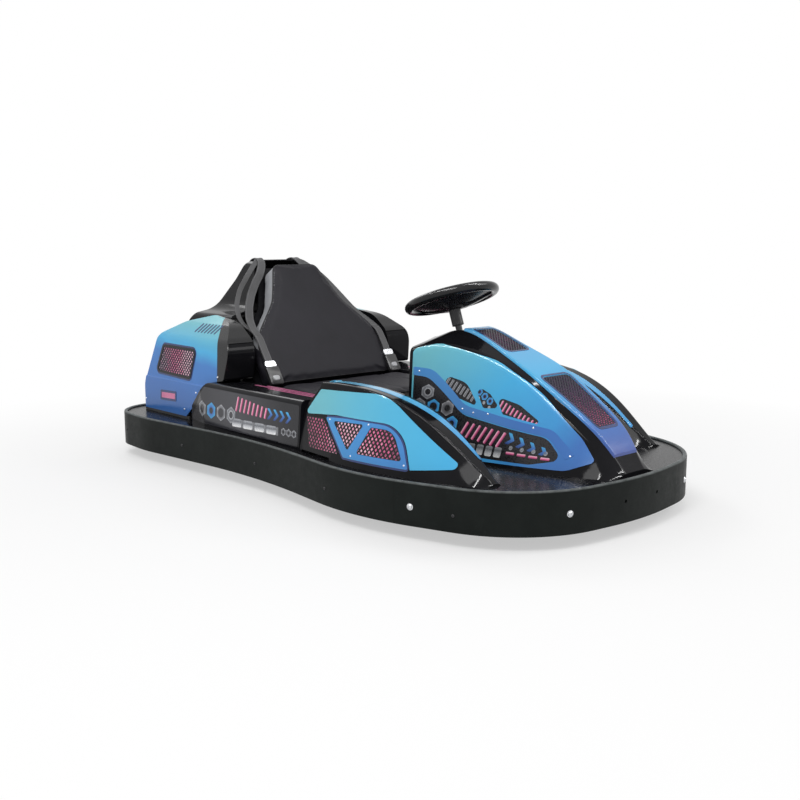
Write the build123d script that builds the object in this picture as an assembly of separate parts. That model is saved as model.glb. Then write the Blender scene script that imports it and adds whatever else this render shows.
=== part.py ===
from build123d import *
import math
import os

# An electric rental go-kart with a full-perimeter bumper band.
# +X is forward, +Y is the kart's left, +Z is up. Millimetres.
# The origin is on the floor, under the centre of the bumper band.

# Bumper band
BAND_LENGTH = 1940.0
BAND_HEIGHT = 116.0
BAND_THICK = 13.0
GROUND_GAP = 40.0
BAND_TOP = GROUND_GAP + BAND_HEIGHT
BAND_MID = GROUND_GAP + BAND_HEIGHT / 2
BOLT_HOLE_R = 4.5
NOSE_RADIUS = 900.0
NOSE_SWEEP_DEG = 8.0
CORNER_HALF = 401.0
SHOULDER_HALF = 554.0
SHOULDER_X = 438.0
WAIST_HALF = 479.0
WAIST_X = -96.0
HIP_HALF = 537.0
HIP_X = -700.0
TAIL_HALF = 516.0
TAIL_RADIUS = 160.0

# Fits
SEAT_GAP = 0.3
RUN_GAP = 0.05
MOVE_GAP = 6.0
SEAM = 0.8

# Mouldings
WALL = 4.0
DECK_TOP = 150.0
DECK_THICK = 5.0

# Wheels and axles
FRONT_AXLE_X = 400.0
REAR_AXLE_X = -690.0
FRONT_TYRE_R = 110.0
FRONT_TYRE_W = 80.0
FRONT_TRACK_HALF = 385.0
KINGPIN_HALF = 312.0
REAR_TYRE_R = 120.0
REAR_TYRE_W = 100.0
REAR_TRACK_HALF = 358.0
FRONT_RIM_R = 64.0
REAR_RIM_R = 68.0
RIM_WALL = 4.0
REAR_AXLE_R = 15.0
STUB_R = 8.0
KINGPIN_R = 6.0

# Chassis
RAIL_R = 16.0
CROSS_R = 13.0
RAIL_HALF = 235.0
TRAY_BOTTOM = 46.0
TRAY_THICK = 3.0
RAIL_Z = TRAY_BOTTOM + TRAY_THICK + SEAT_GAP + RAIL_R
RAIL_FRONT = 800.0
RAIL_REAR = -905.0
STRUT_R = 12.0

# Steering
WHEEL_CENTRE = (266.0, 0.0, 586.0)
COLUMN_LEAN_DEG = 19.4
RIM_RADIUS = 148.0
GRIP_R = 15.0
COLUMN_R = 10.0
PITMAN_ARM = 62.6
KNUCKLE_ARM = 100.0
ARM_BOTTOM = 129.0
ARM_THICK = 8.0
ROD_END_THICK = 10.0
ROD_END_R = 12.0
TIE_ROD_R = 6.0

# Seat
SEAT_RECLINE_DEG = 30.7
SEAT_FOOT = (-285.0, 285.0)
PAD_THICK = 78.0
PAN_THICK = 5.0
SEAT_BASE_TOP = 288.0
SEAT_BASE_THICK = 80.0
SEAT_HALF = 275.0

# Hidden masses
BATTERY_SIZE = (300.0, 400.0, 130.0)
MOTOR_SIZE = (190.0, 180.0, 150.0)

UP = Plane.XY
SIDE = Plane(origin=(0, 0, 0), x_dir=(1, 0, 0), z_dir=(0, -1, 0))
FRONT = Plane(origin=(0, 0, 0), x_dir=(0, 1, 0), z_dir=(1, 0, 0))


def sub(a, b):
    return (a[0] - b[0], a[1] - b[1])


def unit(v):
    length = math.hypot(v[0], v[1])
    return (v[0] / length, v[1] / length)


def tangent_reach(corners, i):
    """Unit directions from corner i to its neighbours, and how far along them its arc begins and ends."""
    a, b, radius = corners[i]
    back = unit(sub(corners[i - 1], (a, b)))
    ahead = unit(sub(corners[(i + 1) % len(corners)], (a, b)))
    cosine = max(-1.0, min(1.0, back[0] * ahead[0] + back[1] * ahead[1]))
    half = math.acos(cosine) / 2
    return back, ahead, half, radius / math.tan(half)


def outline(corners):
    """Face inside a closed polygon of (a, b, radius) corners, each rounded by a tangent arc.

    Where two arcs would need more than the edge between them, both radii shrink until they fit."""
    edges = []
    starts = []
    count = len(corners)
    reaches = [tangent_reach(corners, i)[3] for i in range(count)]
    share = [1.0] * count
    for i in range(count):
        after = (i + 1) % count
        length = math.hypot(*sub(corners[after], corners[i]))
        room = 0.98 * length / max(reaches[i] + reaches[after], 1e-9)
        share[i] = min(share[i], room)
        share[after] = min(share[after], room)
    for i in range(count):
        a, b, radius = corners[i]
        if radius <= 0:
            starts.append(((a, b), (a, b), None))
            continue
        back, ahead, half, reach = tangent_reach(corners, i)
        radius, reach = radius * share[i], reach * share[i]
        first = (a + back[0] * reach, b + back[1] * reach)
        last = (a + ahead[0] * reach, b + ahead[1] * reach)
        middle = unit((back[0] + ahead[0], back[1] + ahead[1]))
        depth = radius / math.sin(half) - radius
        starts.append((first, last, (a + middle[0] * depth, b + middle[1] * depth)))
    for i in range(count):
        first, last, crown = starts[i]
        if crown is not None:
            edges.append(ThreePointArc(first, crown, last))
        following = starts[(i + 1) % count][0]
        edges.append(Line(last, following))
    return make_face(Curve() + edges)


def inset(corners, distances):
    """Corners of a polygon whose edge i, from corner i to the next, has moved inward by distances[i]."""
    count = len(corners)
    area = sum(corners[i - 1][0] * corners[i][1] - corners[i][0] * corners[i - 1][1] for i in range(count))
    turn = 1.0 if area > 0 else -1.0
    lines = []
    for i in range(count):
        way = unit(sub(corners[(i + 1) % count], corners[i]))
        normal = (-way[1] * turn, way[0] * turn)
        start = (corners[i][0] + normal[0] * distances[i], corners[i][1] + normal[1] * distances[i])
        lines.append((start, way))
    moved = []
    for i in range(count):
        (p, d), (q, e) = lines[i - 1], lines[i]
        cross = d[0] * e[1] - d[1] * e[0]
        reach = ((q[0] - p[0]) * e[1] - (q[1] - p[1]) * e[0]) / cross
        convex = cross * turn > 0
        step = max(distances[i - 1], distances[i])
        radius = corners[i][2]
        if radius > 0:
            radius = max(1.0, radius - step) if convex else radius + step
        moved.append((p[0] + d[0] * reach, p[1] + d[1] * reach, radius))
    return moved


def prism(corners, plane, low, high):
    """Solid of an outline drawn in a plane, from low to high along the plane's normal."""
    return extrude(plane.offset(low) * outline(corners), high - low)


def section_loft(stations, section):
    """Solid through the (y, z) sections that section(station) draws at each station's x."""
    return loft([FRONT.offset(station[0]) * outline(section(station)) for station in stations])


def rod(start, end, radius):
    """Round bar between two points."""
    axis = Vector(*end) - Vector(*start)
    plane = Plane(origin=start, z_dir=axis)
    return extrude(plane * Circle(radius), axis.length)


def box(x0, x1, y0, y1, z0, z1):
    return Pos((x0 + x1) / 2, (y0 + y1) / 2, (z0 + z1) / 2) * Box(x1 - x0, y1 - y0, z1 - z0)


def disc(x, z, y0, y1, radius):
    """Round plate across the kart, from y0 to y1."""
    return rod((x, y0, z), (x, y1, z), radius)


def left_of(part):
    return mirror(part, about=Plane.XZ)


def pair(part):
    """The piece and its mirror image, as one node of separate solids."""
    return Compound(children=[*part.solids(), *left_of(part).solids()])


NODES = {}


def keep(name, part):
    NODES[name] = part


# Bumper band


def band_corners():
    """Half outline of the band, from the nose to the tail, as (x, y, radius)."""
    sweep = math.radians(NOSE_SWEEP_DEG)
    nose_x = BAND_LENGTH / 2 + NOSE_RADIUS * (1 / math.cos(sweep) - 1)
    corner_x = nose_x - CORNER_HALF * math.tan(sweep)
    return [
        (nose_x, 0.0, NOSE_RADIUS),
        (corner_x, CORNER_HALF, 340.0),
        (SHOULDER_X, SHOULDER_HALF, 800.0),
        (WAIST_X, WAIST_HALF, 2200.0),
        (HIP_X, HIP_HALF, 600.0),
        (-BAND_LENGTH / 2, TAIL_HALF, TAIL_RADIUS),
    ]


def band_outline(shrink):
    half = band_corners()
    whole = half + [(x, -y, r) for x, y, r in reversed(half[1:])]
    return inset(whole, [shrink] * len(whole))


def band_region(shrink, low, high):
    return prism(band_outline(shrink), UP, low, high)


# Struts to the band's ends: y of the tube
END_STRUT_Y = 72.0
FRONT_SEAM_X = 560.0
REAR_SEAM_X = -790.0


# Worn rounding of the band's top rim: share of the drop below the top, and of the reach in from the wall
RIM_ROUND = 4.5
RIM_STEPS = [(1.0, 0.0), (0.3, 0.3), (0.0, 1.0)]


def band_stack(shrink, inward, foot, extra):
    """Solid inside the band's outline, whose top rim leans in, or out for inward -1, by the rounding."""
    rings = [(foot, 0.0)] + [(BAND_TOP - drop * RIM_ROUND, reach * RIM_ROUND) for drop, reach in RIM_STEPS]
    rings += [(BAND_TOP + extra, RIM_ROUND)] if extra else []
    faces = [UP.offset(z) * outline(band_outline(shrink + inward * reach)) for z, reach in rings]
    return loft(faces, ruled=True)


def make_band():
    ring = band_stack(0, 1, GROUND_GAP, 0) - band_stack(BAND_THICK, -1, 0, 1.0)
    far = BAND_LENGTH
    spans = [
        ("band_front", FRONT_SEAM_X + SEAT_GAP, far, -far, far),
        ("band_right", REAR_SEAM_X + SEAT_GAP, FRONT_SEAM_X, -far, 0),
        ("band_left", REAR_SEAM_X + SEAT_GAP, FRONT_SEAM_X, 0, far),
        ("band_rear", -far, REAR_SEAM_X, -far, far),
    ]
    for x in (-BAND_LENGTH, 0):
        for y in (-END_STRUT_Y, END_STRUT_Y):
            ring -= rod((x, y, BAND_MID), (x + BAND_LENGTH, y, BAND_MID), BOLT_HOLE_R)
    for name, x0, x1, y0, y1 in spans:
        keep(name, ring & box(x0, x1, y0, y1, 0, BAND_TOP + 1))


# Chassis


RAIL_TOP = RAIL_Z + RAIL_R
CROSS_X = [780.0, 445.0, 60.0, -330.0, -560.0, -880.0]
# Outriggers to the band's sides: x of the tube
SIDE_STRUT_X = [640.0, 150.0, -250.0, -480.0, -870.0]
STRUT_PLATE = 56.0
STRUT_PLATE_THICK = 5.0


def make_chassis():
    rails = rod((RAIL_REAR, -RAIL_HALF, RAIL_Z), (RAIL_FRONT, -RAIL_HALF, RAIL_Z), RAIL_R)
    keep("side_rails", pair(rails))
    between = RAIL_HALF - RAIL_R - SEAT_GAP
    members = [rod((x, -between, RAIL_Z), (x, between, RAIL_Z), CROSS_R) for x in CROSS_X]
    keep("cross_members", Compound(children=members))
    tray_x = (RAIL_FRONT + RAIL_R, CROSS_X[3] - RAIL_R)
    tray = box(tray_x[1], tray_x[0], -RAIL_HALF, RAIL_HALF, TRAY_BOTTOM, TRAY_BOTTOM + TRAY_THICK)
    keep("floor_tray", tray)
    make_struts()


def make_struts():
    inside = band_region(BAND_THICK + SEAT_GAP, 0, BAND_TOP)
    start = RAIL_HALF + RAIL_R + SEAT_GAP
    struts = []
    for x in SIDE_STRUT_X:
        tube = rod((x, -start, RAIL_Z), (x, -BAND_LENGTH, RAIL_Z), STRUT_R)
        reach = box(x - STRUT_PLATE / 2, x + STRUT_PLATE / 2, -BAND_LENGTH, -start,
                    BAND_MID - STRUT_PLATE / 2, BAND_MID + STRUT_PLATE / 2)
        plate = reach - band_region(BAND_THICK + SEAT_GAP + STRUT_PLATE_THICK, 0, BAND_TOP)
        struts.append((tube + plate) & inside)
    for near, far in ((CROSS_X[0] + RAIL_R, BAND_LENGTH), (-BAND_LENGTH, CROSS_X[-1] - RAIL_R)):
        tube = rod((near, -END_STRUT_Y, RAIL_Z), (far, -END_STRUT_Y, RAIL_Z), STRUT_R)
        reach = box(near, far, -END_STRUT_Y - STRUT_PLATE / 2, -END_STRUT_Y + STRUT_PLATE / 2,
                    BAND_MID - STRUT_PLATE / 2, BAND_MID + STRUT_PLATE / 2)
        plate = reach - band_region(BAND_THICK + SEAT_GAP + STRUT_PLATE_THICK, 0, BAND_TOP)
        bolt = rod((near, -END_STRUT_Y, BAND_MID), (far, -END_STRUT_Y, BAND_MID), BOLT_HOLE_R)
        struts.append((tube + plate - bolt) & inside)
    keep("band_struts", pair(Compound(children=[solid for strut in struts for solid in strut.solids()])))


# Front deck


POD_REAR_X = 94.0
WELL_X = (244.0, 556.0)
WELL_Y = (290.0, 468.0)
FOOTWELL_HALF = 195.0
FOOTWELL_FRONT = 790.0


def make_deck():
    plate = band_region(BAND_THICK + SEAT_GAP, DECK_TOP - DECK_THICK, DECK_TOP)
    plate &= box(POD_REAR_X, BAND_LENGTH, -BAND_LENGTH, BAND_LENGTH, 0, DECK_TOP + 1)
    mouth = [
        (POD_REAR_X - 10, -RAIL_HALF - 20, 0.0),
        (POD_REAR_X - 10, RAIL_HALF + 20, 0.0),
        (WELL_X[0] - 60, RAIL_HALF + 20, 40.0),
        (WELL_X[0] + 60, FOOTWELL_HALF, 60.0),
        (FOOTWELL_FRONT, 110.0, 60.0),
        (FOOTWELL_FRONT, -110.0, 60.0),
        (WELL_X[0] + 60, -FOOTWELL_HALF, 60.0),
        (WELL_X[0] - 60, -RAIL_HALF - 20, 40.0),
    ]
    plate -= prism(mouth, UP, 0, DECK_TOP + 1)
    well = [(WELL_X[0], -WELL_Y[0], 30.0), (WELL_X[0], -WELL_Y[1], 30.0),
            (WELL_X[1], -WELL_Y[1], 60.0), (WELL_X[1], -WELL_Y[0], 30.0)]
    hole = prism(well, UP, 0, DECK_TOP + 1)
    keep("deck_front", plate - hole - left_of(hole))


# Inner edge of the tail deck: under the cowls' outer walls and the tail
DECK_LAP = 10.0


def make_tail_deck():
    plate = band_region(BAND_THICK + SEAT_GAP, DECK_TOP - DECK_THICK, DECK_TOP)
    plate &= box(-BAND_LENGTH, SILL_PLAN[0][0] - SEAT_GAP, -BAND_LENGTH, BAND_LENGTH, 0, DECK_TOP + 1)
    tail, side = COWL_SIDE[0][0] + 2 * DECK_LAP, COWL_OUTER - DECK_LAP
    plate -= box(tail, 0, -side, side, 0, DECK_TOP + 1)
    for x, y in (COWL_POST, FAIRING_POST):
        notch = box(x - 8 - SEAM, x + 8 + SEAM, -y - BRACKET_WIDTH / 2 - SEAM, -y + BRACKET_WIDTH / 2 + SEAM,
                    0, DECK_TOP + 1)
        plate -= notch + left_of(notch)
    keep("deck_rear", plate)


# Hood


# x, half width at the base, half width and height of the shoulder, half width and height of the crown
HOOD_STATIONS = [
    (245.0, 214.0, 200.0, 438.0, 62.0, 474.0),
    (300.0, 215.0, 195.0, 455.0, 60.0, 488.0),
    (400.0, 215.0, 142.0, 462.0, 55.0, 494.0),
    (540.0, 205.0, 108.0, 428.0, 66.0, 441.0),
    (650.0, 190.0, 102.0, 380.0, 78.0, 392.0),
    (760.0, 165.0, 98.0, 310.0, 75.0, 327.0),
    (850.0, 135.0, 86.0, 243.0, 65.0, 266.0),
    (905.0, 112.0, 72.0, 193.0, 53.0, 210.0),
    (944.0, 86.0, 60.0, 158.0, 42.0, 162.0),
]
SPINE_RISE = 8.0
SPINE_X = (372.0, 912.0)
GRILLE_DEPTH = 4.0
GRILLE_THICK = 2.0
# Grilles in the spine: rear x, front x, half width at the rear and at the front
GRILLES = [
    (398.0, 535.0, 38.0, 44.0),
    (668.0, 852.0, 58.0, 42.0),
]


def hood_section(station, walls=0.0):
    x, base, shoulder, shoulder_z, crown, crown_z = station
    corners = [
        (-base, DECK_TOP, 0.0), (-shoulder, shoulder_z, 26.0), (-crown, crown_z, 14.0),
        (crown, crown_z, 14.0), (shoulder, shoulder_z, 26.0), (base, DECK_TOP, 0.0),
    ]
    if walls == 0:
        return corners
    return inset(corners, [walls] * 5 + [-20.0])


def spine_section(station, drop=0.0):
    x, base, shoulder, shoulder_z, crown, crown_z = station
    top = crown_z + SPINE_RISE - drop
    return [
        (-crown - 4, crown_z - 25, 0.0), (-crown, top, 5.0),
        (crown, top, 5.0), (crown + 4, crown_z - 25, 0.0),
    ]


def make_hood():
    outer = section_loft(HOOD_STATIONS, hood_section)
    first, last = HOOD_STATIONS[0], HOOD_STATIONS[-1]
    inner_stations = [(first[0] - 1, *first[1:])] + HOOD_STATIONS[1:-1] + [(last[0] - WALL, *last[1:])]
    inner = section_loft(inner_stations, lambda station: hood_section(station, WALL))
    mouth = [(200, -260, 0.0), (306, -260, 0.0), (256, -70, 110.0), (256, 70, 110.0), (306, 260, 0.0),
             (200, 260, 0.0)]
    shell = outer - inner - prism(mouth, UP, 0, BAND_LENGTH)
    shell -= rod(on_column(300), on_column(560), COLUMN_R + MOVE_GAP)
    keep("hood", shell)
    ridge = section_loft(HOOD_STATIONS, spine_section)
    ridge &= box(*SPINE_X, -BAND_LENGTH, BAND_LENGTH, DECK_TOP + WALL, BAND_LENGTH)
    sunk = Pos(0, 0, -GRILLE_DEPTH) * ridge
    slab = Pos(0, 0, -GRILLE_DEPTH + GRILLE_THICK) * ridge
    spine = ridge - outer
    inserts = []
    for x0, x1, w0, w1 in GRILLES:
        corners = [(x0, -w0, 12.0), (x1, -w1, 12.0), (x1, w1, 12.0), (x0, w0, 12.0)]
        spine -= prism(corners, UP, 0, BAND_LENGTH) - sunk
        insert = prism(inset(corners, [SEAT_GAP] * 4), UP, 0, BAND_LENGTH)
        inserts += ((insert & slab) - sunk).solids()
    keep("spine_grilles", Compound(children=inserts))
    keep("hood_spine", spine)


# Front pods


# x, inner base, ridge, outer base, ridge height: distances out from the centreline
POD_STATIONS = [
    (94.0, 300.0, 425.0, 462.0, 352.0),
    (300.0, 272.0, 425.0, 485.0, 362.0),
    (450.0, 262.0, 415.0, 482.0, 341.0),
    (600.0, 268.0, 398.0, 455.0, 279.0),
    (720.0, 310.0, 376.0, 414.0, 194.0),
    (772.0, 338.0, 366.0, 386.0, 157.0),
]
# Inner edge of the pod's flat top: share of the way from its inner foot to its ridge, and of its height
POD_FLAT = (0.45, 0.97)
POD_TAIL = ((80.0, 262.0), (158.0, 344.0))


def pod_section(station, walls=0.0):
    x, inner, ridge, outer, top = station
    rise = top - DECK_TOP
    corners = [
        (-inner, DECK_TOP, 0.0), (-(inner + (ridge - inner) * POD_FLAT[0]), DECK_TOP + rise * POD_FLAT[1], 12.0),
        (-ridge, top, 8.0), (-outer, DECK_TOP, 0.0),
    ]
    if walls == 0:
        return corners
    return inset(corners, [walls] * 3 + [-20.0])


def make_pods():
    outer = section_loft(POD_STATIONS, pod_section)
    first, last = POD_STATIONS[0], POD_STATIONS[-1]
    stations = [(first[0] - 1, *first[1:])] + POD_STATIONS[1:-1] + [(last[0] - WALL, *last[1:])]
    inner = section_loft(stations, lambda station: pod_section(station, WALL))
    shell = outer - inner
    low, high = POD_TAIL
    shell -= prism([(*low, 0.0), (*high, 0.0), (high[0] + 60, 480.0, 0.0), (low[0] - 60, 480.0, 0.0)],
                   SIDE, 0, BAND_LENGTH)
    keep("pod_right", shell)
    keep("pod_left", left_of(shell))


# Rear cowls, arm liners and sills


# Outer and inner faces of the cowls, and the fairing's side, set by the rear tyres
COWL_OUTER = REAR_TRACK_HALF + REAR_TYRE_W / 2 + 18.0
COWL_INNER = REAR_TRACK_HALF - REAR_TYRE_W / 2 - 8.0
FAIRING_SIDE_Y = COWL_INNER - 2.0
# The right cowl from the side, (x, z, radius): up the tail, over the top, down the front, back under the cut
COWL_SIDE = [
    (-908.0, 160.0, 0.0), (-861.0, 290.0, 60.0), (-808.0, 430.0, 70.0), (-700.0, 480.0, 80.0),
    (-580.0, 506.0, 60.0), (-440.0, 488.0, 120.0), (-348.0, 418.0, 70.0), (-370.0, 306.0, 12.0),
    (-430.0, 296.0, 20.0), (-598.0, 160.0, 0.0),
]
# The right cowl from behind, (y, z, radius): out along the foot, up the side with its crease, in over the top
COWL_SECTION = [
    (-COWL_INNER, 100.0, 0.0), (-COWL_OUTER, 100.0, 0.0), (-COWL_OUTER, 275.0, 0.0),
    (-COWL_OUTER + 4, 279.0, 0.0), (-COWL_OUTER + 22, 428.0, 45.0), (-COWL_OUTER + 76, 480.0, 70.0),
    (-COWL_INNER, 510.0, 0.0),
]
COWL_CORNER = 42.0
LINER_WALL = 4.0
LINER_REAR_X = -560.0


def cowl_blank(shrink, beyond):
    """The right cowl's form shrunk by a wall; its open front, foot and inner side move out by beyond."""
    side = inset(COWL_SIDE, [shrink] * 6 + [-beyond] * 4)
    across = inset(COWL_SECTION, [-beyond] + [shrink] * 5 + [-beyond])
    tail, inner, outer = COWL_SIDE[0][0] + shrink, -COWL_INNER + beyond, -COWL_OUTER - 1
    plan = [(tail, inner, 0.0), (tail, outer, COWL_CORNER - shrink), (-200.0, outer, 0.0), (-200.0, inner, 0.0)]
    solid = prism(side, SIDE, 0, BAND_LENGTH)
    solid &= prism(across, FRONT, -BAND_LENGTH, BAND_LENGTH)
    return solid & prism(plan, UP, 0, BAND_LENGTH)


def make_cowls():
    shell = cowl_blank(0, 0) - cowl_blank(WALL, 20)
    keep("cowl_right", shell)
    keep("cowl_left", left_of(shell))
    core = cowl_blank(WALL + SEAT_GAP, 0) & box(LINER_REAR_X, 0, -BAND_LENGTH, 0, 0, BAND_LENGTH)
    hollow = Pos(-LINER_WALL, LINER_WALL, 0) * cowl_blank(WALL + SEAT_GAP, 0)
    cavity = box(LINER_REAR_X - 1, 0, -BAND_LENGTH, -COWL_INNER - LINER_WALL, 0, BAND_LENGTH)
    liner = core - (cavity & hollow & (Pos(-LINER_WALL, 0, 0) * core))
    liner = max(liner.solids(), key=lambda solid: solid.volume)
    keep("arm_liner_right", liner)
    keep("arm_liner_left", left_of(liner))


SILL_SECTION = [(-302.0, DECK_TOP, 0.0), (-302.0, 292.0, 12.0), (-450.0, 300.0, 18.0), (-462.0, DECK_TOP, 0.0)]
SILL_PLAN = [(-558.0, -300.0, 0.0), (-558.0, -434.0, 30.0), (-430.0, -458.0, 60.0), (91.0, -462.0, 0.0),
             (91.0, -300.0, 0.0)]


def make_sills():
    outer = prism(SILL_SECTION, FRONT, -700, 91) & prism(SILL_PLAN, UP, 0, BAND_LENGTH)
    hollow = prism(inset(SILL_SECTION, [WALL, WALL, WALL, -20.0]), FRONT, -700, 91 - WALL)
    hollow &= prism(inset(SILL_PLAN, [WALL] * 5), UP, 0, BAND_LENGTH)
    lip = band_region(BAND_THICK + SEAT_GAP, DECK_TOP - DECK_THICK, DECK_TOP)
    tail, front = SILL_PLAN[0][0], SILL_PLAN[-1][0]
    lip &= box(tail, front, -BAND_LENGTH, -COWL_OUTER + 6, 0, BAND_LENGTH)
    shell = outer + lip - hollow
    shell -= prism(inset(COWL_SIDE, [-SEAM] * len(COWL_SIDE)), SIDE, 0, BAND_LENGTH)
    keep("sill_right", shell)
    keep("sill_left", left_of(shell))


# Seat


def seat_plane(depth):
    """Plane of the seat back, depth behind its front face: local x is across, local y is up the back."""
    lean = math.radians(SEAT_RECLINE_DEG)
    facing = (math.cos(lean), 0.0, math.sin(lean))
    origin = (SEAT_FOOT[0] - facing[0] * depth, 0.0, SEAT_FOOT[1] - facing[2] * depth)
    return Plane(origin=origin, x_dir=(0, 1, 0), z_dir=facing)


# Half outline of the back pad: half width, distance up the back, radius
PAD_HALF = [(268.0, 4.0, 25.0), (286.0, 150.0, 45.0), (250.0, 215.0, 50.0), (158.0, 320.0, 120.0),
            (98.0, 472.0, 32.0)]


def seat_outline(grow, foot):
    """Outline of the seat back, grown all round, its lower edge by foot."""
    half = [(w, s, r) for w, s, r in PAD_HALF]
    whole = half + [(-w, s, r) for w, s, r in reversed(half)]
    return inset(whole, [-grow] * (len(whole) - 1) + [-foot])


PAN_RIM = 12.0
PAN_FOOT = 52.0


def make_seat():
    back = extrude(seat_plane(PAD_THICK) * outline(seat_outline(0, 0)), PAD_THICK)
    keep("seat_back_pad", back)
    rear = SEAT_FOOT[0] + 6
    floor = SEAT_BASE_TOP - SEAT_BASE_THICK
    base = [(rear, floor, 8.0), (rear, SEAT_BASE_TOP, 8.0), (70.0, SEAT_BASE_TOP, 40.0), (85.0, floor, 10.0)]
    keep("seat_base_pad", prism(base, SIDE, -SEAT_HALF, SEAT_HALF))
    top = floor - SEAT_GAP
    lean = math.radians(SEAT_RECLINE_DEG)
    behind = SEAT_FOOT[0] - (PAD_THICK + SEAT_GAP + PAN_THICK) / math.cos(lean)
    shelf = box(behind - 20, 85, -SEAT_HALF, SEAT_HALF, top - PAN_THICK, top)
    sheet = seat_plane(PAD_THICK + SEAT_GAP + PAN_THICK) * outline(seat_outline(PAN_RIM, PAN_FOOT))
    keep("seat_pan", shelf + (extrude(sheet, PAN_THICK) & box(-BAND_LENGTH, 0, -BAND_LENGTH, BAND_LENGTH, top - PAN_THICK, BAND_LENGTH)))


# Brackets that carry the seat and the rear mouldings


BRACKET_HALF = 180.0
BRACKET_WIDTH = 30.0
COWL_POST = (-870.0, 381.0)
FAIRING_POST = (-889.0, 200.0)


def post(x, y, width, low, high):
    return box(x - 8, x + 8, y - width / 2, y + width / 2, low, high)


def make_brackets():
    beam_top = RAIL_Z + CROSS_R + SEAT_GAP
    pan_foot = SEAT_BASE_TOP - SEAT_BASE_THICK - PAN_THICK - 2 * SEAT_GAP
    posts = [post(x, -BRACKET_HALF, BRACKET_WIDTH, beam_top, pan_foot) for x in (CROSS_X[2], CROSS_X[3])]
    foot = COWL_SIDE[0][1] - SEAT_GAP
    strut_top = RAIL_Z + STRUT_R + SEAT_GAP
    posts.append(post(COWL_POST[0], -COWL_POST[1], BRACKET_WIDTH, strut_top, foot))
    posts.append(post(FAIRING_POST[0], -FAIRING_POST[1], BRACKET_WIDTH, beam_top, foot))
    keep("body_brackets", pair(Compound(children=posts)))


# Back fairing


FAIRING_SIDE = [
    (-893.0, 160.0, 0.0), (-876.0, 275.0, 60.0), (-833.0, 424.0, 60.0), (-740.0, 500.0, 140.0),
    (-672.0, 692.0, 40.0), (-606.0, 692.0, 16.0), (-470.0, 470.0, 0.0), (-560.0, 300.0, 0.0), (-600.0, 160.0, 0.0),
]
FAIRING_HALF = [
    (FAIRING_SIDE_Y, 100.0, 0.0), (FAIRING_SIDE_Y, 502.0, 30.0), (208.0, 520.0, 90.0), (140.0, 622.0, 120.0),
    (106.0, 692.0, 46.0),
]


def fairing_blank(shrink, beyond):
    """The fairing's form shrunk by a wall; its open foot and lower front move out by beyond."""
    side = inset(FAIRING_SIDE, [shrink] * 6 + [-beyond] * 3)
    whole = [(-w, z, r) for w, z, r in FAIRING_HALF] + [(w, z, r) for w, z, r in reversed(FAIRING_HALF)]
    across = inset(whole, [shrink] * (len(whole) - 1) + [-beyond])
    return prism(side, SIDE, -BAND_LENGTH, BAND_LENGTH) & prism(across, FRONT, -BAND_LENGTH, 0)


def make_fairing():
    behind_pan = seat_plane(PAD_THICK + PAN_THICK + 2 * SEAT_GAP)
    ahead = extrude(behind_pan * Rectangle(BAND_LENGTH, BAND_LENGTH), BAND_LENGTH)
    shell = fairing_blank(0, 0) - fairing_blank(WALL, 20) - ahead
    keep("back_fairing", max(shell.solids(), key=lambda solid: solid.volume))


# Steering


def column_axis():
    lean = math.radians(COLUMN_LEAN_DEG)
    return (-math.sin(lean), 0.0, math.cos(lean))


def on_column(z):
    """Point of the column's axis at a height."""
    axis = column_axis()
    reach = (z - WHEEL_CENTRE[2]) / axis[2]
    return (WHEEL_CENTRE[0] + axis[0] * reach, 0.0, z)


def along(point, direction, reach):
    return tuple(p + d * reach for p, d in zip(point, direction))


ARM_TIP_Z = ARM_BOTTOM - SEAT_GAP - ROD_END_THICK / 2
PITMAN_THICK = 6.0
COLUMN_FOOT_Z = 84.0
# Sleeve round the column above the hood, and how deep the wheel is dished
SLEEVE_FOOT_Z = 507.0
SLEEVE_R = 18.0
DISH = 22.0
BLOCK_TOP = 91.0
ROD_SIDE_GAP = 1.0
UPPER_BEARING_Z = 415.0


def pitman_pin():
    axis = column_axis()
    outward = (axis[2], 0.0, -axis[0])
    station = on_column(ARM_TIP_Z - outward[2] * PITMAN_ARM)
    return along(station, outward, PITMAN_ARM), station, outward


def make_steering():
    axis = column_axis()
    pin, station, outward = pitman_pin()
    hub = WHEEL_CENTRE
    plane = Plane(origin=hub, z_dir=axis, x_dir=(0, 1, 0))
    rim = revolve(plane * Plane.XZ * Pos(RIM_RADIUS - GRIP_R, 0) * Circle(GRIP_R), Axis(hub, axis), 360)
    edge = RIM_RADIUS - GRIP_R
    cone = [(20.0, -DISH - 8, 0.0), (edge, -5.0, 0.0), (edge, 2.0, 0.0), (20.0, -DISH - 1, 0.0)]
    dish = revolve(plane * Plane.XZ * outline(cone), Axis(hub, axis), 360)
    boss = extrude(plane.offset(-DISH - 14) * Circle(34), 18)
    keep("steering_wheel", rim + dish + boss)
    top = along(hub, axis, -DISH - 14 - SEAT_GAP)
    column = rod(on_column(COLUMN_FOOT_Z), top, COLUMN_R) + rod(on_column(SLEEVE_FOOT_Z), top, SLEEVE_R)
    plate_plane = Plane(origin=along(station, axis, -PITMAN_THICK / 2), z_dir=axis, x_dir=outward)
    slot = [(-18.0, -16.0, 15.0), (PITMAN_ARM + 12, -11.0, 10.0), (PITMAN_ARM + 12, 11.0, 10.0), (-18.0, 16.0, 15.0)]
    plate = extrude(plate_plane * outline(slot), PITMAN_THICK)
    stack = PITMAN_THICK / 2 + ROD_SIDE_GAP + ROD_END_THICK + 2
    bolt = rod(along(pin, axis, -stack), along(pin, axis, stack), 5.0)
    keep("steering_column", column + plate + bolt)
    make_column_support()
    make_tie_rods()


STRUT_FOOT_HALF = 45.0
STEER_STRUT_R = 8.0


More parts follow.
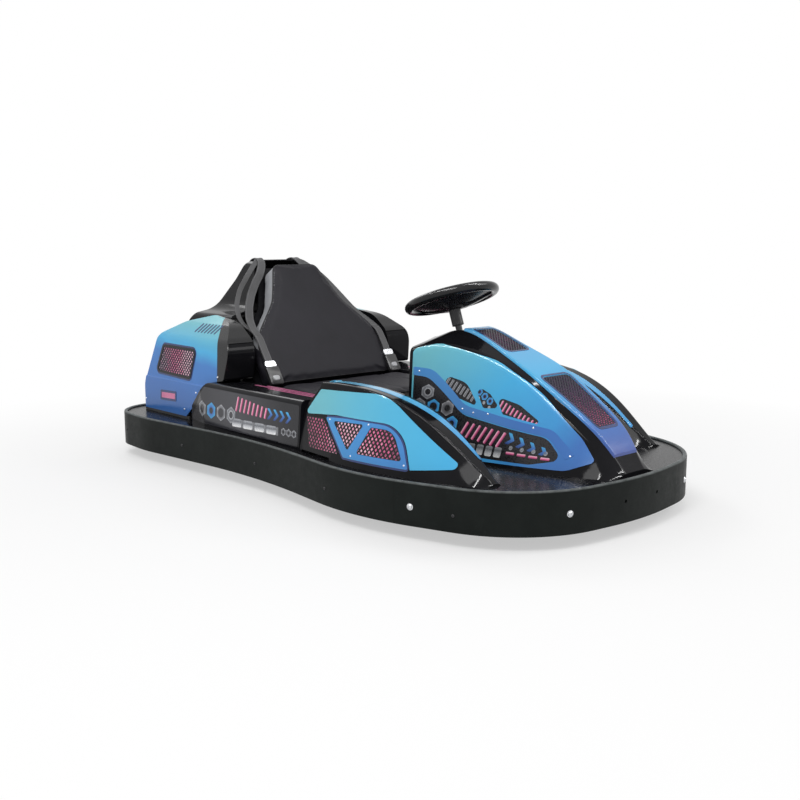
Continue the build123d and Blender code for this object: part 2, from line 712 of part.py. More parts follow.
def make_column_support():
    axis = column_axis()
    upper = on_column(UPPER_BEARING_Z)
    ring = rod(along(upper, axis, -15), along(upper, axis, 15), COLUMN_R + 9)
    beam_top = RAIL_Z + CROSS_R + SEAT_GAP
    low_x, far_x = CROSS_X[1], CROSS_X[0]
    foot = box(far_x - 14, far_x + 14, -STRUT_FOOT_HALF - 14, STRUT_FOOT_HALF + 14, beam_top, beam_top + 6)
    struts = [rod((far_x, side * STRUT_FOOT_HALF, beam_top + 3), along(upper, (0, side, 0), 10.0), STEER_STRUT_R)
              for side in (-1, 1)]
    hanger = foot + struts[0] + struts[1] + ring
    block = box(low_x - 26, low_x + 20, -20, 20, beam_top, BLOCK_TOP)
    bore = rod(on_column(60), along(upper, axis, 60), COLUMN_R + RUN_GAP)
    above = box(-BAND_LENGTH, BAND_LENGTH, -SEAT_HALF, SEAT_HALF, beam_top, BAND_LENGTH)
    keep("column_support", Compound(children=[*((hanger & above) - bore).solids(), *(block - bore).solids()]))


def rod_end(centre, axis, bore):
    half = ROD_END_THICK / 2
    ring = rod(along(centre, axis, -half), along(centre, axis, half), ROD_END_R)
    return ring, rod(along(centre, axis, -half - 1), along(centre, axis, half + 1), bore)


def make_tie_rods():
    axis = column_axis()
    pin, station, outward = pitman_pin()
    stack = PITMAN_THICK / 2 + ROD_SIDE_GAP + ROD_END_THICK / 2
    for name, side, level in (("tie_rod_left", 1, stack), ("tie_rod_right", -1, -stack)):
        inner = along(pin, axis, level)
        outer = (FRONT_AXLE_X + KNUCKLE_ARM, side * KINGPIN_HALF, ARM_TIP_Z)
        ring, bore = rod_end(inner, axis, 5.0 + RUN_GAP)
        eye, hole = rod_end(outer, (0, 0, 1), 4.0)
        direction = Vector(*outer) - Vector(*inner)
        start = along(inner, direction.normalized(), ROD_END_R - 2)
        end = along(outer, direction.normalized(), 2 - ROD_END_R)
        keep(name, ring + eye + rod(start, end, TIE_ROD_R - 1) - bore - hole)


# Front axle ends


EAR_THICK = 6.0
EAR_HALF_SPAN = 28.0


def make_front_ends():
    low = FRONT_TYRE_R - EAR_HALF_SPAN
    high = FRONT_TYRE_R + EAR_HALF_SPAN
    y = -KINGPIN_HALF
    back = y + 26
    yoke = box(FRONT_AXLE_X - 20, FRONT_AXLE_X + 20, back, back + 8, low - EAR_THICK, high + EAR_THICK)
    for z0 in (low - EAR_THICK, high):
        yoke += box(FRONT_AXLE_X - 16, FRONT_AXLE_X + 16, y, back, z0, z0 + EAR_THICK)
        yoke += rod((FRONT_AXLE_X, y, z0), (FRONT_AXLE_X, y, z0 + EAR_THICK), 16)
    yoke += rod((FRONT_AXLE_X, y, low - EAR_THICK), (FRONT_AXLE_X, y, high + EAR_THICK), KINGPIN_R)
    yoke += box(FRONT_AXLE_X - 16, FRONT_AXLE_X + 16, back + 8, -RAIL_HALF - RAIL_R - SEAT_GAP,
                low - EAR_THICK, low + 18)
    keep("kingpin_yokes", pair(yoke))
    sleeve = rod((FRONT_AXLE_X, y, low + SEAT_GAP), (FRONT_AXLE_X, y, high - SEAT_GAP), 14)
    hub_outer = FRONT_TRACK_HALF + FRONT_TYRE_W / 2 - 8
    stub = rod((FRONT_AXLE_X, y, FRONT_TYRE_R), (FRONT_AXLE_X, -hub_outer, FRONT_TYRE_R), STUB_R)
    collar = rod((FRONT_AXLE_X, y, FRONT_TYRE_R), (FRONT_AXLE_X, -HUB_INNER + SEAT_GAP, FRONT_TYRE_R), STUB_R + 5)
    arm_path = [(FRONT_AXLE_X - 12, y - 12, 8.0), (FRONT_AXLE_X + KNUCKLE_ARM + 12, y - 11, 10.0),
                (FRONT_AXLE_X + KNUCKLE_ARM + 12, y + 11, 10.0), (FRONT_AXLE_X - 12, y + 12, 8.0)]
    arm = prism(arm_path, UP, ARM_BOTTOM, ARM_BOTTOM + ARM_THICK)
    knuckle = sleeve + stub + collar + arm
    knuckle -= rod((FRONT_AXLE_X, y, 0), (FRONT_AXLE_X, y, 300), KINGPIN_R + RUN_GAP)
    knuckle -= rod((FRONT_AXLE_X + KNUCKLE_ARM, y, 0), (FRONT_AXLE_X + KNUCKLE_ARM, y, 300), 5.0)
    keep("knuckle_right", knuckle)
    keep("knuckle_left", left_of(knuckle))


# Wheels


HUB_INNER = 352.0


def wheel_profile(x, axle_z, centre, width, tyre_r, rim_r, bore_r, hub_r, hub_in, hub_out):
    """Right-hand rim and tyre about an axle across the kart, centre out from the centreline."""
    y0, y1 = -(centre + width / 2), -(centre - width / 2)
    seat = width / 2 - 8
    tyre = disc(x, axle_z, y0, y1, tyre_r)
    edges = tyre.edges().filter_by(GeomType.CIRCLE)
    tyre = fillet(edges, width * 0.2)
    tyre -= disc(x, axle_z, y0 - 1, y1 + 1, rim_r)
    barrel = disc(x, axle_z, -centre - seat, -centre + seat, rim_r - SEAT_GAP)
    barrel -= disc(x, axle_z, -centre - seat - 1, -centre + seat + 1, rim_r - SEAT_GAP - RIM_WALL)
    web = disc(x, axle_z, -centre - 4, -centre + 4, rim_r - SEAT_GAP - 1)
    for i in range(5):
        angle = math.radians(72 * i + 90)
        reach = (hub_r + rim_r - RIM_WALL) / 2
        web -= disc(x + reach * math.cos(angle), axle_z + reach * math.sin(angle), -centre - 9, -centre + 9, 11)
    hub = disc(x, axle_z, -hub_out, -hub_in, hub_r)
    rim = barrel + web + hub - disc(x, axle_z, -centre - 300, -centre + 300, bore_r)
    return rim, tyre


def make_wheels():
    hub_outer = FRONT_TRACK_HALF + FRONT_TYRE_W / 2 - 16
    rim, tyre = wheel_profile(FRONT_AXLE_X, FRONT_TYRE_R, FRONT_TRACK_HALF, FRONT_TYRE_W, FRONT_TYRE_R,
                              FRONT_RIM_R, STUB_R + RUN_GAP, 20.0, HUB_INNER, hub_outer)
    keep("front_rim_right", rim)
    keep("front_tyre_right", tyre)
    keep("front_rim_left", left_of(rim))
    keep("front_tyre_left", left_of(tyre))
    rim, tyre = wheel_profile(REAR_AXLE_X, REAR_TYRE_R, REAR_TRACK_HALF, REAR_TYRE_W, REAR_TYRE_R,
                              REAR_RIM_R, REAR_AXLE_R + RUN_GAP, 28.0, REAR_TRACK_HALF - REAR_TYRE_W / 2 - 10,
                              REAR_TRACK_HALF + 20)
    keep("rear_rims", pair(rim))
    keep("rear_tyres", pair(tyre))


# Rear axle


BEARING_LENGTH = 30.0
DISC_Y = -150.0
DISC_R = 82.0


def make_rear_axle():
    end = REAR_TRACK_HALF + 26
    keep("rear_axle", disc(REAR_AXLE_X, REAR_TYRE_R, -end, end, REAR_AXLE_R))
    plate = disc(REAR_AXLE_X, REAR_TYRE_R, DISC_Y - 2.5, DISC_Y + 2.5, DISC_R)
    carrier = disc(REAR_AXLE_X, REAR_TYRE_R, DISC_Y - 12, DISC_Y + 12, REAR_AXLE_R + 12)
    bore = disc(REAR_AXLE_X, REAR_TYRE_R, DISC_Y - 30, DISC_Y + 30, REAR_AXLE_R + RUN_GAP)
    keep("brake_disc", plate + carrier - bore)
    y = -RAIL_HALF
    foot = box(REAR_AXLE_X - 45, REAR_AXLE_X + 45, y - 14, y + 14, RAIL_TOP + SEAT_GAP, RAIL_TOP + 10)
    ring = disc(REAR_AXLE_X, REAR_TYRE_R, y - BEARING_LENGTH / 2, y + BEARING_LENGTH / 2, 32.0)
    ring -= box(REAR_AXLE_X - 99, REAR_AXLE_X + 99, y - 99, y + 99, 0, RAIL_TOP + SEAT_GAP)
    bearing = foot + ring - disc(REAR_AXLE_X, REAR_TYRE_R, y - 50, y + 50, REAR_AXLE_R + RUN_GAP)
    keep("axle_bearings", pair(bearing))
    caliper = box(REAR_AXLE_X + 40, REAR_AXLE_X + 110, DISC_Y - 26, DISC_Y + 26, REAR_TYRE_R - 25, REAR_TYRE_R + 25)
    caliper -= box(REAR_AXLE_X, REAR_AXLE_X + 92, DISC_Y - 8, DISC_Y + 8, 0, 300)
    beam_top = RAIL_Z + CROSS_R + SEAT_GAP
    stand = box(REAR_AXLE_X + 94, REAR_AXLE_X + 110, DISC_Y - 26, DISC_Y + 26, beam_top, REAR_TYRE_R + 25)
    stand += box(REAR_AXLE_X + 94, CROSS_X[4] + CROSS_R, DISC_Y - 26, DISC_Y + 26, beam_top, beam_top + 8)
    keep("brake_caliper", caliper + stand)


def make_masses():
    length, width, height = MOTOR_SIZE
    front = CROSS_X[4] - CROSS_R - SEAT_GAP
    block = box(front - length, front, -40, width - 40, REAR_TYRE_R - height / 2, REAR_TYRE_R + height / 2)
    motor = block - disc(REAR_AXLE_X, REAR_TYRE_R, -300, 300, REAR_AXLE_R + 5)
    keep("motor_block", motor)
    length, width, height = BATTERY_SIZE
    base = TRAY_BOTTOM + TRAY_THICK + SEAT_GAP
    x0 = CROSS_X[3] + RAIL_R + 20
    keep("battery_block", box(x0, x0 + length, -width / 2, width / 2, base, base + height))


# Pedals


def make_pedals():
    floor = TRAY_BOTTOM + TRAY_THICK + SEAT_GAP
    bar_x, bar_z = 700.0, floor + 30
    bracket = box(bar_x - 10, bar_x + 10, -140, 140, floor, floor + 6)
    for y in (-140, 134):
        bracket += box(bar_x - 12, bar_x + 12, y, y + 6, floor, bar_z + 14)
    bracket += disc(bar_x, bar_z, -140, 140, 8.0)
    keep("pedal_bracket", bracket)
    top = (bar_x - 70, floor + 165)
    pedals = []
    for y in (-95.0, 95.0):
        sleeve = disc(bar_x, bar_z, y - 14, y + 14, 13.0)
        arm = rod((bar_x, y, bar_z), (top[0] + 12, y, top[1] - 10), 6.0)
        pad = Pos(top[0], y, top[1]) * Rot(0, -18, 0) * Box(8, 70, 60)
        pedal = sleeve + arm + pad - disc(bar_x, bar_z, y - 40, y + 40, 8.0 + RUN_GAP)
        pedals += pedal.solids()
    keep("pedals", Compound(children=pedals))


# Belts


BELT_WIDTH = 44.0
BELT_THICK = 3.0
BELT_GAP = 0.6
# Run of the right belt over the pad: out from the centreline, distance up the back
BELT_RUN = [(-84.0, 462.0), (-204.0, 372.0), (-256.0, 236.0), (-262.0, 70.0)]


def make_belts():
    base = seat_plane(-BELT_GAP)
    strap = None
    for (y0, s0), (y1, s1) in zip(BELT_RUN[:-1], BELT_RUN[1:]):
        run = unit((y1 - y0, s1 - s0))
        side = (-run[1] * BELT_WIDTH / 2, run[0] * BELT_WIDTH / 2)
        quad = [(y0 + side[0], s0 + side[1], 0.0), (y1 + side[0], s1 + side[1], 0.0),
                (y1 - side[0], s1 - side[1], 0.0), (y0 - side[0], s0 - side[1], 0.0)]
        piece = extrude(base * outline(quad), BELT_THICK)
        strap = piece if strap is None else strap + piece
    keep("belt_webbing", pair(strap))
    y, s = BELT_RUN[-1]
    buckle = extrude(base * Pos(y, s - 40) * RectangleRounded(BELT_WIDTH + 12, 62, 10), 20.0)
    keep("belt_buckles", pair(buckle))


def main():
    make_band()
    make_chassis()
    make_deck()
    make_hood()
    make_pods()
    make_cowls()
    make_sills()
    make_seat()
    make_brackets()
    make_tail_deck()
    make_fairing()
    make_steering()
    make_front_ends()
    make_wheels()
    make_rear_axle()
    make_masses()
    make_pedals()
    make_belts()
    os.makedirs("parts", exist_ok=True)
    for name, part in NODES.items():
        export_step(part, "parts/" + name + ".step")


main()
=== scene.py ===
import math

import bmesh
import bpy
from mathutils import Matrix, Vector
from mathutils.bvhtree import BVHTree
from mathutils.geometry import delaunay_2d_cdt


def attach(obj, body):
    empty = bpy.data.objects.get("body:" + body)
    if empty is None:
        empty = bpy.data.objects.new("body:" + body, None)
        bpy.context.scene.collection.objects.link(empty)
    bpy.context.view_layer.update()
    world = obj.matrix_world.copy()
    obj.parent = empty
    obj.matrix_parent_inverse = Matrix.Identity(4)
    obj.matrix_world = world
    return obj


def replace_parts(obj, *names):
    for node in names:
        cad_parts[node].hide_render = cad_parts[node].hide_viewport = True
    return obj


# An electric rental go-kart with a full-perimeter bumper band.
# +X is forward, +Y is the kart's left, +Z is up. Lengths here are millimetres until they become mesh points.

MM = 0.001
LEFT = Vector((0, 1, 0))
UP = Vector((0, 0, 1))
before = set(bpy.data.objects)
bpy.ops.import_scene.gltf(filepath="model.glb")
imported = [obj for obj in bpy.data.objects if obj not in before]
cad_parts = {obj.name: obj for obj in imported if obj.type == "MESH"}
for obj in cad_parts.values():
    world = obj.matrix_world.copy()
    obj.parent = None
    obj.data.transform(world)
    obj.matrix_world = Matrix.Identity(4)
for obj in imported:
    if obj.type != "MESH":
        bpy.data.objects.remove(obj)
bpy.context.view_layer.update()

# Places that the CAD model gives
BAND_TOP = 156.0
FRONT_AXLE = Vector((400, 385, 110))
REAR_AXLE = Vector((-690, 358, 120))
WHEEL_CENTRE = Vector((266, 0, 586))
COLUMN_LEAN = math.radians(19.4)
SEAT_LEAN = math.radians(30.7)
SEAT_FOOT = Vector((-285, 0, 285))

# Colours, linear
TEAL = (0.155, 0.51, 0.6)
SKY = (0.062, 0.44, 0.78)
AZURE = (0.055, 0.33, 0.7)
COBALT = (0.05, 0.175, 0.52)
NAVY = (0.018, 0.045, 0.19)
VIOLET = (0.07, 0.06, 0.26)
PINK = (0.8, 0.15, 0.33)
BLUSH = (0.95, 0.6, 0.72)
BLACK = (0.006, 0.006, 0.007)
SILVER = (0.62, 0.63, 0.66)
PEWTER = (0.42, 0.43, 0.46)
WHITE = (0.9, 0.9, 0.91)


def clamp(value, low=0.0, high=1.0):
    return max(low, min(high, value))


# Materials


MATERIALS = {}


class Nodes:
    """Adds nodes to a tree. A value is a number, a colour or another node's output."""

    def __init__(self, tree):
        self.tree = tree

    def join(self, value, socket):
        if isinstance(value, bpy.types.NodeSocket):
            self.tree.links.new(value, socket)
        else:
            socket.default_value = (*value, 1) if socket.type == "RGBA" else value

    def add(self, kind, inputs, output, **settings):
        """One output of a new node."""
        node = self.tree.nodes.new("ShaderNode" + kind)
        for name, value in settings.items():
            setattr(node, name, value)
        for name, value in inputs.items():
            self.join(value, node.inputs[name])
        return node.outputs[output]

    def remap(self, value, low, high, to_low=0.0, to_high=1.0):
        return self.add("MapRange", {"Value": value, "From Min": low, "From Max": high, "To Min": to_low,
                                     "To Max": to_high}, "Result")

    def reckon(self, kind, a, b=0.0):
        return self.add("Math", {0: a, 1: b}, "Value", operation=kind)

    def seen(self):
        """1 for camera, glossy and transmission rays, 0 for the rest."""
        path = self.tree.nodes.new("ShaderNodeLightPath").outputs
        either = self.reckon("MAXIMUM", path["Is Camera Ray"], path["Is Glossy Ray"])
        return self.reckon("MAXIMUM", either, path["Is Transmission Ray"])


class Paint(Nodes):
    """A material under way, with its Principled shader."""

    def __init__(self, name):
        MATERIALS[name] = bpy.data.materials.new(name)
        MATERIALS[name].use_nodes = True
        super().__init__(MATERIALS[name].node_tree)
        self.shader = self.tree.nodes["Principled BSDF"]
        self.where = self.add("TexCoord", {}, "Object")

    def noise(self, scale, detail=4.0, roughness=0.55):
        return self.add("TexNoise", {"Vector": self.where, "Scale": scale, "Detail": detail,
                                     "Roughness": roughness}, "Fac")

    def ramp(self, value, stops):
        """Colour ramp through (place, colour) stops."""
        node = self.tree.nodes.new("ShaderNodeValToRGB")
        points = node.color_ramp.elements
        while len(points) < len(stops):
            points.new(0.5)
        for point, (place, colour) in zip(points, stops):
            point.position = place
            point.color = (*colour, 1)
        self.join(value, node.inputs["Fac"])
        return node.outputs["Color"]

    def along(self, direction):
        """Distance in metres along a direction of the frame."""
        return self.add("VectorMath", {0: self.where, 1: direction}, "Value", operation="DOT_PRODUCT")

    def mix(self, share, first, second):
        """Mixed colour, by the colour sockets' places in the Mix node."""
        return self.add("Mix", {0: share, 6: first, 7: second}, 2, data_type="RGBA")

    def strayed(self, value, noise, amount, stops):
        """Ramp's colour at a value that a noise moves up and down."""
        swing = self.reckon("MULTIPLY", self.reckon("SUBTRACT", noise, 0.5), amount)
        return self.ramp(self.reckon("ADD", value, swing), stops)

    def give(self, colour, specular=0.5, metallic=0.0, sheen=0.0):
        for name, value in (("Base Color", colour), ("Specular IOR Level", specular), ("Metallic", metallic),
                            ("Sheen Weight", sheen)):
            self.join(value, self.shader.inputs[name])

    def surface(self, height, rough, strength=0.0, depth=0.0):
        """Roughness that a height noise spreads, and its relief, depth in mm."""
        self.join(self.remap(height, 0.3, 0.7, *rough), self.shader.inputs["Roughness"])
        if depth:
            self.relief(height, strength, depth)

    def relief(self, height, strength, depth):
        inputs = {"Strength": strength, "Distance": depth * MM, "Height": height}
        self.join(self.add("Bump", inputs, "Normal"), self.shader.inputs["Normal"])


def grain(name, dark, light, rough, scale, depth, metallic=0.0, specular=0.5, patches=9.0, sheen=0.0):
    """A surface with patches of two colours, fine grain in its height and a spread of roughness."""
    paint = Paint(name)
    paint.give(paint.ramp(paint.noise(patches), [(0.3, dark), (0.7, light)]), specular, metallic, sheen)
    paint.surface(paint.noise(scale, 6.0), rough, 0.6, depth)


def printed(name, direction, low, high, stops):
    """Glossy printed film whose colour runs along a direction, from low to high in mm."""
    paint = Paint(name)
    run = paint.remap(paint.along(direction), low * MM, high * MM)
    paint.give(paint.strayed(run, paint.noise(7.0), 0.16, stops), 0.35)
    paint.surface(paint.noise(260.0, 3.0), (0.12, 0.2), 0.25, 0.05)


def shaded(name, stops, metallic=0.0):
    """Printed film whose colour follows the piece's own shade numbers, from 0 to 1."""
    paint = Paint(name)
    shade = paint.add("Attribute", {}, "Fac", attribute_name="shade")
    paint.give(paint.strayed(shade, paint.noise(30.0), 0.12, stops), 0.4, metallic)
    paint.surface(paint.noise(260.0, 3.0), (0.2, 0.3))


def glowing(name, direction, low, high, cell, stops):
    """Backing of a printed mesh: colour along a direction, broken into brighter and darker cells."""
    paint = Paint(name)
    run = paint.remap(paint.along(direction), low * MM, high * MM)
    cells = paint.add("TexVoronoi", {"Vector": paint.where, "Scale": 1000.0 / cell}, "Color")
    red = paint.add("SeparateColor", {"Color": cells}, "Red")
    paint.give(paint.strayed(run, red, 0.22, stops))
    paint.surface(paint.noise(260.0, 3.0), (0.25, 0.4))


def paint_cowl():
    """Gloss moulding whose colour changes with height, black inside and round its front arm."""
    paint = Paint("cowl")
    run = paint.remap(paint.along((0.1, 0, 1)), 0.18, 0.5)
    body = paint.strayed(run, paint.noise(6.0), 0.12, [
        (0.0, COBALT), (0.36, (0.05, 0.22, 0.6)), (0.5, SKY), (0.72, TEAL), (0.9, (0.13, 0.5, 0.56)),
        (1.0, (0.08, 0.36, 0.6))])
    outward = paint.reckon("ABSOLUTE", paint.along((0, 1, 0)))
    arm = paint.remap(paint.reckon("SUBTRACT", paint.along((1, 0, 0)), outward), -0.827, -0.824)
    inner = paint.remap(outward, 0.303, 0.3045, 1.0, 0.0)
    paint.give(paint.mix(paint.reckon("MAXIMUM", arm, inner), body, BLACK), 0.35)
    paint.surface(paint.noise(220.0, 3.0), (0.14, 0.22), 0.25, 0.05)


def paint_band():
    """Charcoal bumper band: cloudy scuffs, fine pitting and a paler top rim that is a painted highlight, broken up by
    the scuff noise.
    """
    paint = Paint("band")
    scuff = paint.noise(38.0, 8.0, 0.75)
    cloud = paint.noise(6.0, 8.0, 0.7)
    body = paint.ramp(cloud, [(0.3, (0.005, 0.0066, 0.006)), (0.72, (0.0115, 0.0142, 0.013))])
    marks = paint.ramp(scuff, [(0.6, (0, 0, 0)), (0.75, (1, 1, 1))])
    scuffed = paint.mix(paint.reckon("MULTIPLY", marks, 0.13), body, (0.07, 0.08, 0.075))
    # The paler top rim is a painted highlight along the band's top edge, broken up by the scuff noise
    rim = paint.remap(paint.along((0, 0, 1)), (BAND_TOP - 5.5) * MM, (BAND_TOP - 2.0) * MM)
    painted_rim_highlight = paint.reckon("MULTIPLY", rim, paint.remap(scuff, 0.3, 0.6, 0.25, 0.8))
    paint.give(paint.mix(painted_rim_highlight, scuffed, (0.17, 0.185, 0.185)), 0.09)
    paint.surface(scuff, (0.36, 0.55))
    paint.relief(paint.reckon("ADD", paint.noise(420.0, 5.0), paint.reckon("MULTIPLY", scuff, 2.0)), 0.35, 0.35)


def paint_stage():
    """Floor: pale and diffuse for light, nearly plain white to the camera, with the object's shadow kept."""
    paint = Paint("stage_white")
    paint.give((0.92, 0.92, 0.92), 0.0)
    paint.join(0.9, paint.shader.inputs["Roughness"])
    reach = paint.add("VectorMath", {0: paint.where}, "Value", operation="LENGTH")
    share = paint.reckon("MULTIPLY", paint.seen(), paint.remap(reach, 1.1, 2.3, 0.5, 1.0))
    glow = paint.add("Emission", {}, "Emission")
    mixed = paint.add("MixShader", {0: share, 1: paint.shader.outputs["BSDF"], 2: glow}, "Shader")
    paint.join(mixed, paint.tree.nodes["Material Output"].inputs["Surface"])


def make_materials():
    paint_band()
    paint_cowl()
    paint_stage()
    grain("gloss", BLACK, (0.01, 0.01, 0.012), (0.05, 0.11), 90, 0.009, specular=0.09)
    grain("deck", BLACK, (0.011, 0.011, 0.013), (0.16, 0.3), 120, 0.03, specular=0.09)
    grain("frame", (0.02, 0.02, 0.022), (0.034, 0.034, 0.037), (0.38, 0.55), 300, 0.12)
    grain("tray", (0.1, 0.1, 0.105), (0.16, 0.16, 0.165), (0.35, 0.55), 60, 0.1, 0.85)
    grain("steel", (0.52, 0.53, 0.55), (0.68, 0.69, 0.71), (0.18, 0.34), 140, 0.05, 1.0)
    grain("bolt_dark", (0.02, 0.02, 0.022), (0.04, 0.04, 0.043), (0.3, 0.45), 240, 0.05, 0.4)
    grain("rivet", (0.66, 0.68, 0.72), (0.8, 0.82, 0.86), (0.22, 0.36), 240, 0.04, 0.7)
    grain("tyre", (0.012, 0.012, 0.013), (0.03, 0.03, 0.031), (0.62, 0.85), 320, 0.3)
    grain("rim", (0.42, 0.43, 0.45), (0.56, 0.57, 0.59), (0.26, 0.42), 180, 0.06, 1.0)
    grain("vinyl", (0.0135, 0.0128, 0.0168), (0.02, 0.019, 0.025), (0.46, 0.62), 520, 0.25, specular=0.12,
          patches=5.0)
    grain("gusset", (0.29, 0.3, 0.32), (0.4, 0.41, 0.43), (0.5, 0.66), 520, 0.22)
    grain("seat_front", (0.06, 0.052, 0.048), (0.095, 0.082, 0.074), (0.5, 0.66), 520, 0.22)
    grain("piping", (0.01, 0.01, 0.012), (0.018, 0.018, 0.02), (0.44, 0.6), 420, 0.1, specular=0.15)
    grain("grip", BLACK, (0.012, 0.012, 0.013), (0.12, 0.24), 200, 0.06, specular=0.3)
    grain("spoke", (0.008, 0.008, 0.01), (0.016, 0.016, 0.02), (0.18, 0.32), 160, 0.04, specular=0.16)
    grain("webbing", (0.02, 0.02, 0.022), (0.05, 0.05, 0.055), (0.55, 0.75), 700, 0.3, sheen=0.2)
    grain("thread", (0.1, 0.1, 0.11), (0.18, 0.18, 0.19), (0.55, 0.75), 900, 0.2)
    grain("buckle", (0.012, 0.012, 0.013), (0.022, 0.022, 0.024), (0.28, 0.42), 300, 0.1)
    grain("button", (0.34, 0.35, 0.37), (0.46, 0.47, 0.49), (0.3, 0.44), 300, 0.1)
    grain("motor", (0.09, 0.09, 0.1), (0.15, 0.15, 0.16), (0.4, 0.6), 240, 0.25, 0.6)
    grain("dark", (0.004, 0.004, 0.005), (0.01, 0.01, 0.012), (0.3, 0.5), 300, 0.1, specular=0.3)
    grain("mesh_dark", (0.006, 0.006, 0.016), (0.014, 0.012, 0.034), (0.22, 0.4), 300, 0.05, specular=0.3)
    grain("navy", (0.014, 0.03, 0.12), (0.024, 0.052, 0.19), (0.14, 0.26), 200, 0.04)
    grain("sill", (0.006, 0.006, 0.008), (0.012, 0.012, 0.014), (0.1, 0.2), 120, 0.02, specular=0.12)
    grain("lens_pink", (0.62, 0.12, 0.3), (0.85, 0.26, 0.46), (0.16, 0.3), 160, 0.04)
    grain("art_ground", (0.006, 0.006, 0.008), (0.016, 0.016, 0.02), (0.2, 0.4), 200, 0.04, specular=0.3)
    printed("pod_blue", (1, 0, -0.35), 60, 620, [(0, TEAL), (0.5, (0.09, 0.47, 0.72)), (1, SKY)])
    printed("frame_blue", (1, 0, 0.4), 150, 800, [(0, AZURE), (0.6, (0.06, 0.26, 0.62)), (1, COBALT)])
    printed("stripe_blue", (1, 0, 0), 110, 720, [(0, (0.16, 0.55, 0.8)), (1, AZURE)])
    printed("hood_blue", (1, 0, -1.2), -180, 560, [(0, TEAL), (0.45, SKY), (0.8, AZURE), (1, COBALT)])
    printed("spine", (1, 0, 0), 380, 960, [(0, (0.1, 0.4, 0.72)), (0.45, SKY), (0.8, COBALT), (1, VIOLET)])
    printed("sill_print", (1, 0, 0.3), -450, 100, [
        (0, (0.02, 0.02, 0.024)), (0.5, (0.055, 0.055, 0.065)), (1, (0.012, 0.012, 0.016))])
    glowing("glow_pod", (1, 0, 0.5), 160, 660, 9.0, [
        (0, (0.02, 0.006, 0.012)), (0.35, PINK), (0.55, BLUSH), (0.75, PINK), (1, (0.1, 0.02, 0.06))])
    glowing("glow_cowl", (1, 0, 0.1), -790, -560, 10.0, [
        (0, (0.2, 0.2, 0.23)), (0.32, (0.44, 0.26, 0.35)), (0.65, PINK), (1, BLUSH)])
    glowing("glow", (1, 0, 0), 395, 860, 7.0, [
        (0, PINK), (0.16, (0.34, 0.06, 0.24)), (0.32, (0.01, 0.008, 0.02)), (0.62, (0.012, 0.01, 0.03)),
        (0.8, (0.2, 0.05, 0.2)), (1, PINK)])
    shaded("art_silver", [(0, WHITE), (0.3, SILVER), (0.65, (0.16, 0.17, 0.19)), (1, PEWTER)], 0.3)
    shaded("art_steel", [(0, PEWTER), (0.4, (0.09, 0.092, 0.1)), (0.8, (0.24, 0.245, 0.27)), (1, SILVER)], 0.3)
    shaded("art_pink", [(0, (0.22, 0.02, 0.1)), (0.5, PINK), (1, BLUSH)])
    shaded("art_blue", [(0, NAVY), (0.5, COBALT), (1, SKY)])


# Rings: closed outlines in a plane, as lists of points


def rounded(corners, step=7.0):
    """Points round a closed polygon of (a, b, radius) corners: arcs in short chords, edges cut at step."""
    ring = []
    for i, (a, b, radius) in enumerate(corners):
        here = Vector((a, b))
        back = (Vector(corners[i - 1][:2]) - here).normalized()
        ahead = (Vector(corners[(i + 1) % len(corners)][:2]) - here).normalized()
        if radius <= 0:
            ring.append(here)
            continue
        half = math.acos(clamp(back.dot(ahead), -1.0)) / 2
        reach = radius / math.tan(half)
        middle = here + (back + ahead).normalized() * (radius / math.sin(half))
        first, last = here + back * reach - middle, here + ahead * reach - middle
        sweep = first.angle_signed(last)
        parts = max(2, math.ceil(abs(sweep) * radius / step), math.ceil(abs(sweep) / 0.3))
        ring += [middle + Matrix.Rotation(-sweep * k / parts, 2) @ first for k in range(parts + 1)]
    points = []
    for here, ahead in zip(ring, ring[1:] + ring[:1]):
        parts = max(1, math.ceil((ahead - here).length / step))
        points += [here.lerp(ahead, k / parts) for k in range(parts)]
    return points


def edges(ring):
    """The ring's edges as (start, end), the closing edge first."""
    return zip(ring[-1:] + ring[:-1], ring)


def inside(point, ring):
    within = False
    for last, here in edges(ring):
        if (here.y > point.y) != (last.y > point.y):
            cross = (last.x - here.x) * (point.y - here.y) / (last.y - here.y) + here.x
            within ^= point.x < cross
    return within


def off_line(point, start, end):
    """Distance from a point to the line from start to end."""
    run = end - start
    share = clamp((point - start).dot(run) / max(run.length_squared, 1e-9))
    return (point - start - run * share).length


def margin(point, ring):
    """Distance from a point to a ring."""
    return min(off_line(point, *edge) for edge in edges(ring))


def area(ring):
    """Area, above 0 where the ring runs counterclockwise."""
    return sum(last.cross(here) for last, here in edges(ring)) / 2


def winding(ring):
    """The ring, turned to run counterclockwise."""
    return list(ring) if area(ring) > 0 else ring[::-1]


def span(ring):
    """Lowest and highest corners of the ring's box."""
    return [Vector((end(p.x for p in ring), end(p.y for p in ring))) for end in (min, max)]


def shrunk(corners, by):
    """Convex outline of (a, b, radius) corners moved in all round, its radii too."""
    ring = [Vector(c[:2]) for c in corners]
    turn = 1.0 if area(ring) > 0 else -1.0
    made = []
    for i, here in enumerate(ring):
        last = (here - ring[i - 1]).normalized()
        ahead = (ring[(i + 1) % len(ring)] - here).normalized()
        inward = (last + ahead).orthogonal() * turn
        spot = here + inward * (by / max(0.2, 1 + last.dot(ahead)))
        made.append((spot.x, spot.y, max(0.8, corners[i][2] - by)))
    return made


def four(a, b):
    """Corners of a box about 0, counterclockwise."""
    return [(-a, -b), (a, -b), (a, b), (-a, b)]


def put_ring(a, b, angle_deg, shape, radius, step=4.0):
    """A shape's corners turned, put at (a, b) and rounded."""
    turn = Matrix.Rotation(math.radians(angle_deg), 2)
    spots = [turn @ Vector(corner) for corner in shape]
    return rounded([(a + spot.x, b + spot.y, radius) for spot in spots], step)


def disc_ring(a, b, radius, parts=28):
    return [Vector((a + radius * math.cos(math.tau * k / parts), b + radius * math.sin(math.tau * k / parts)))
            for k in range(parts)]


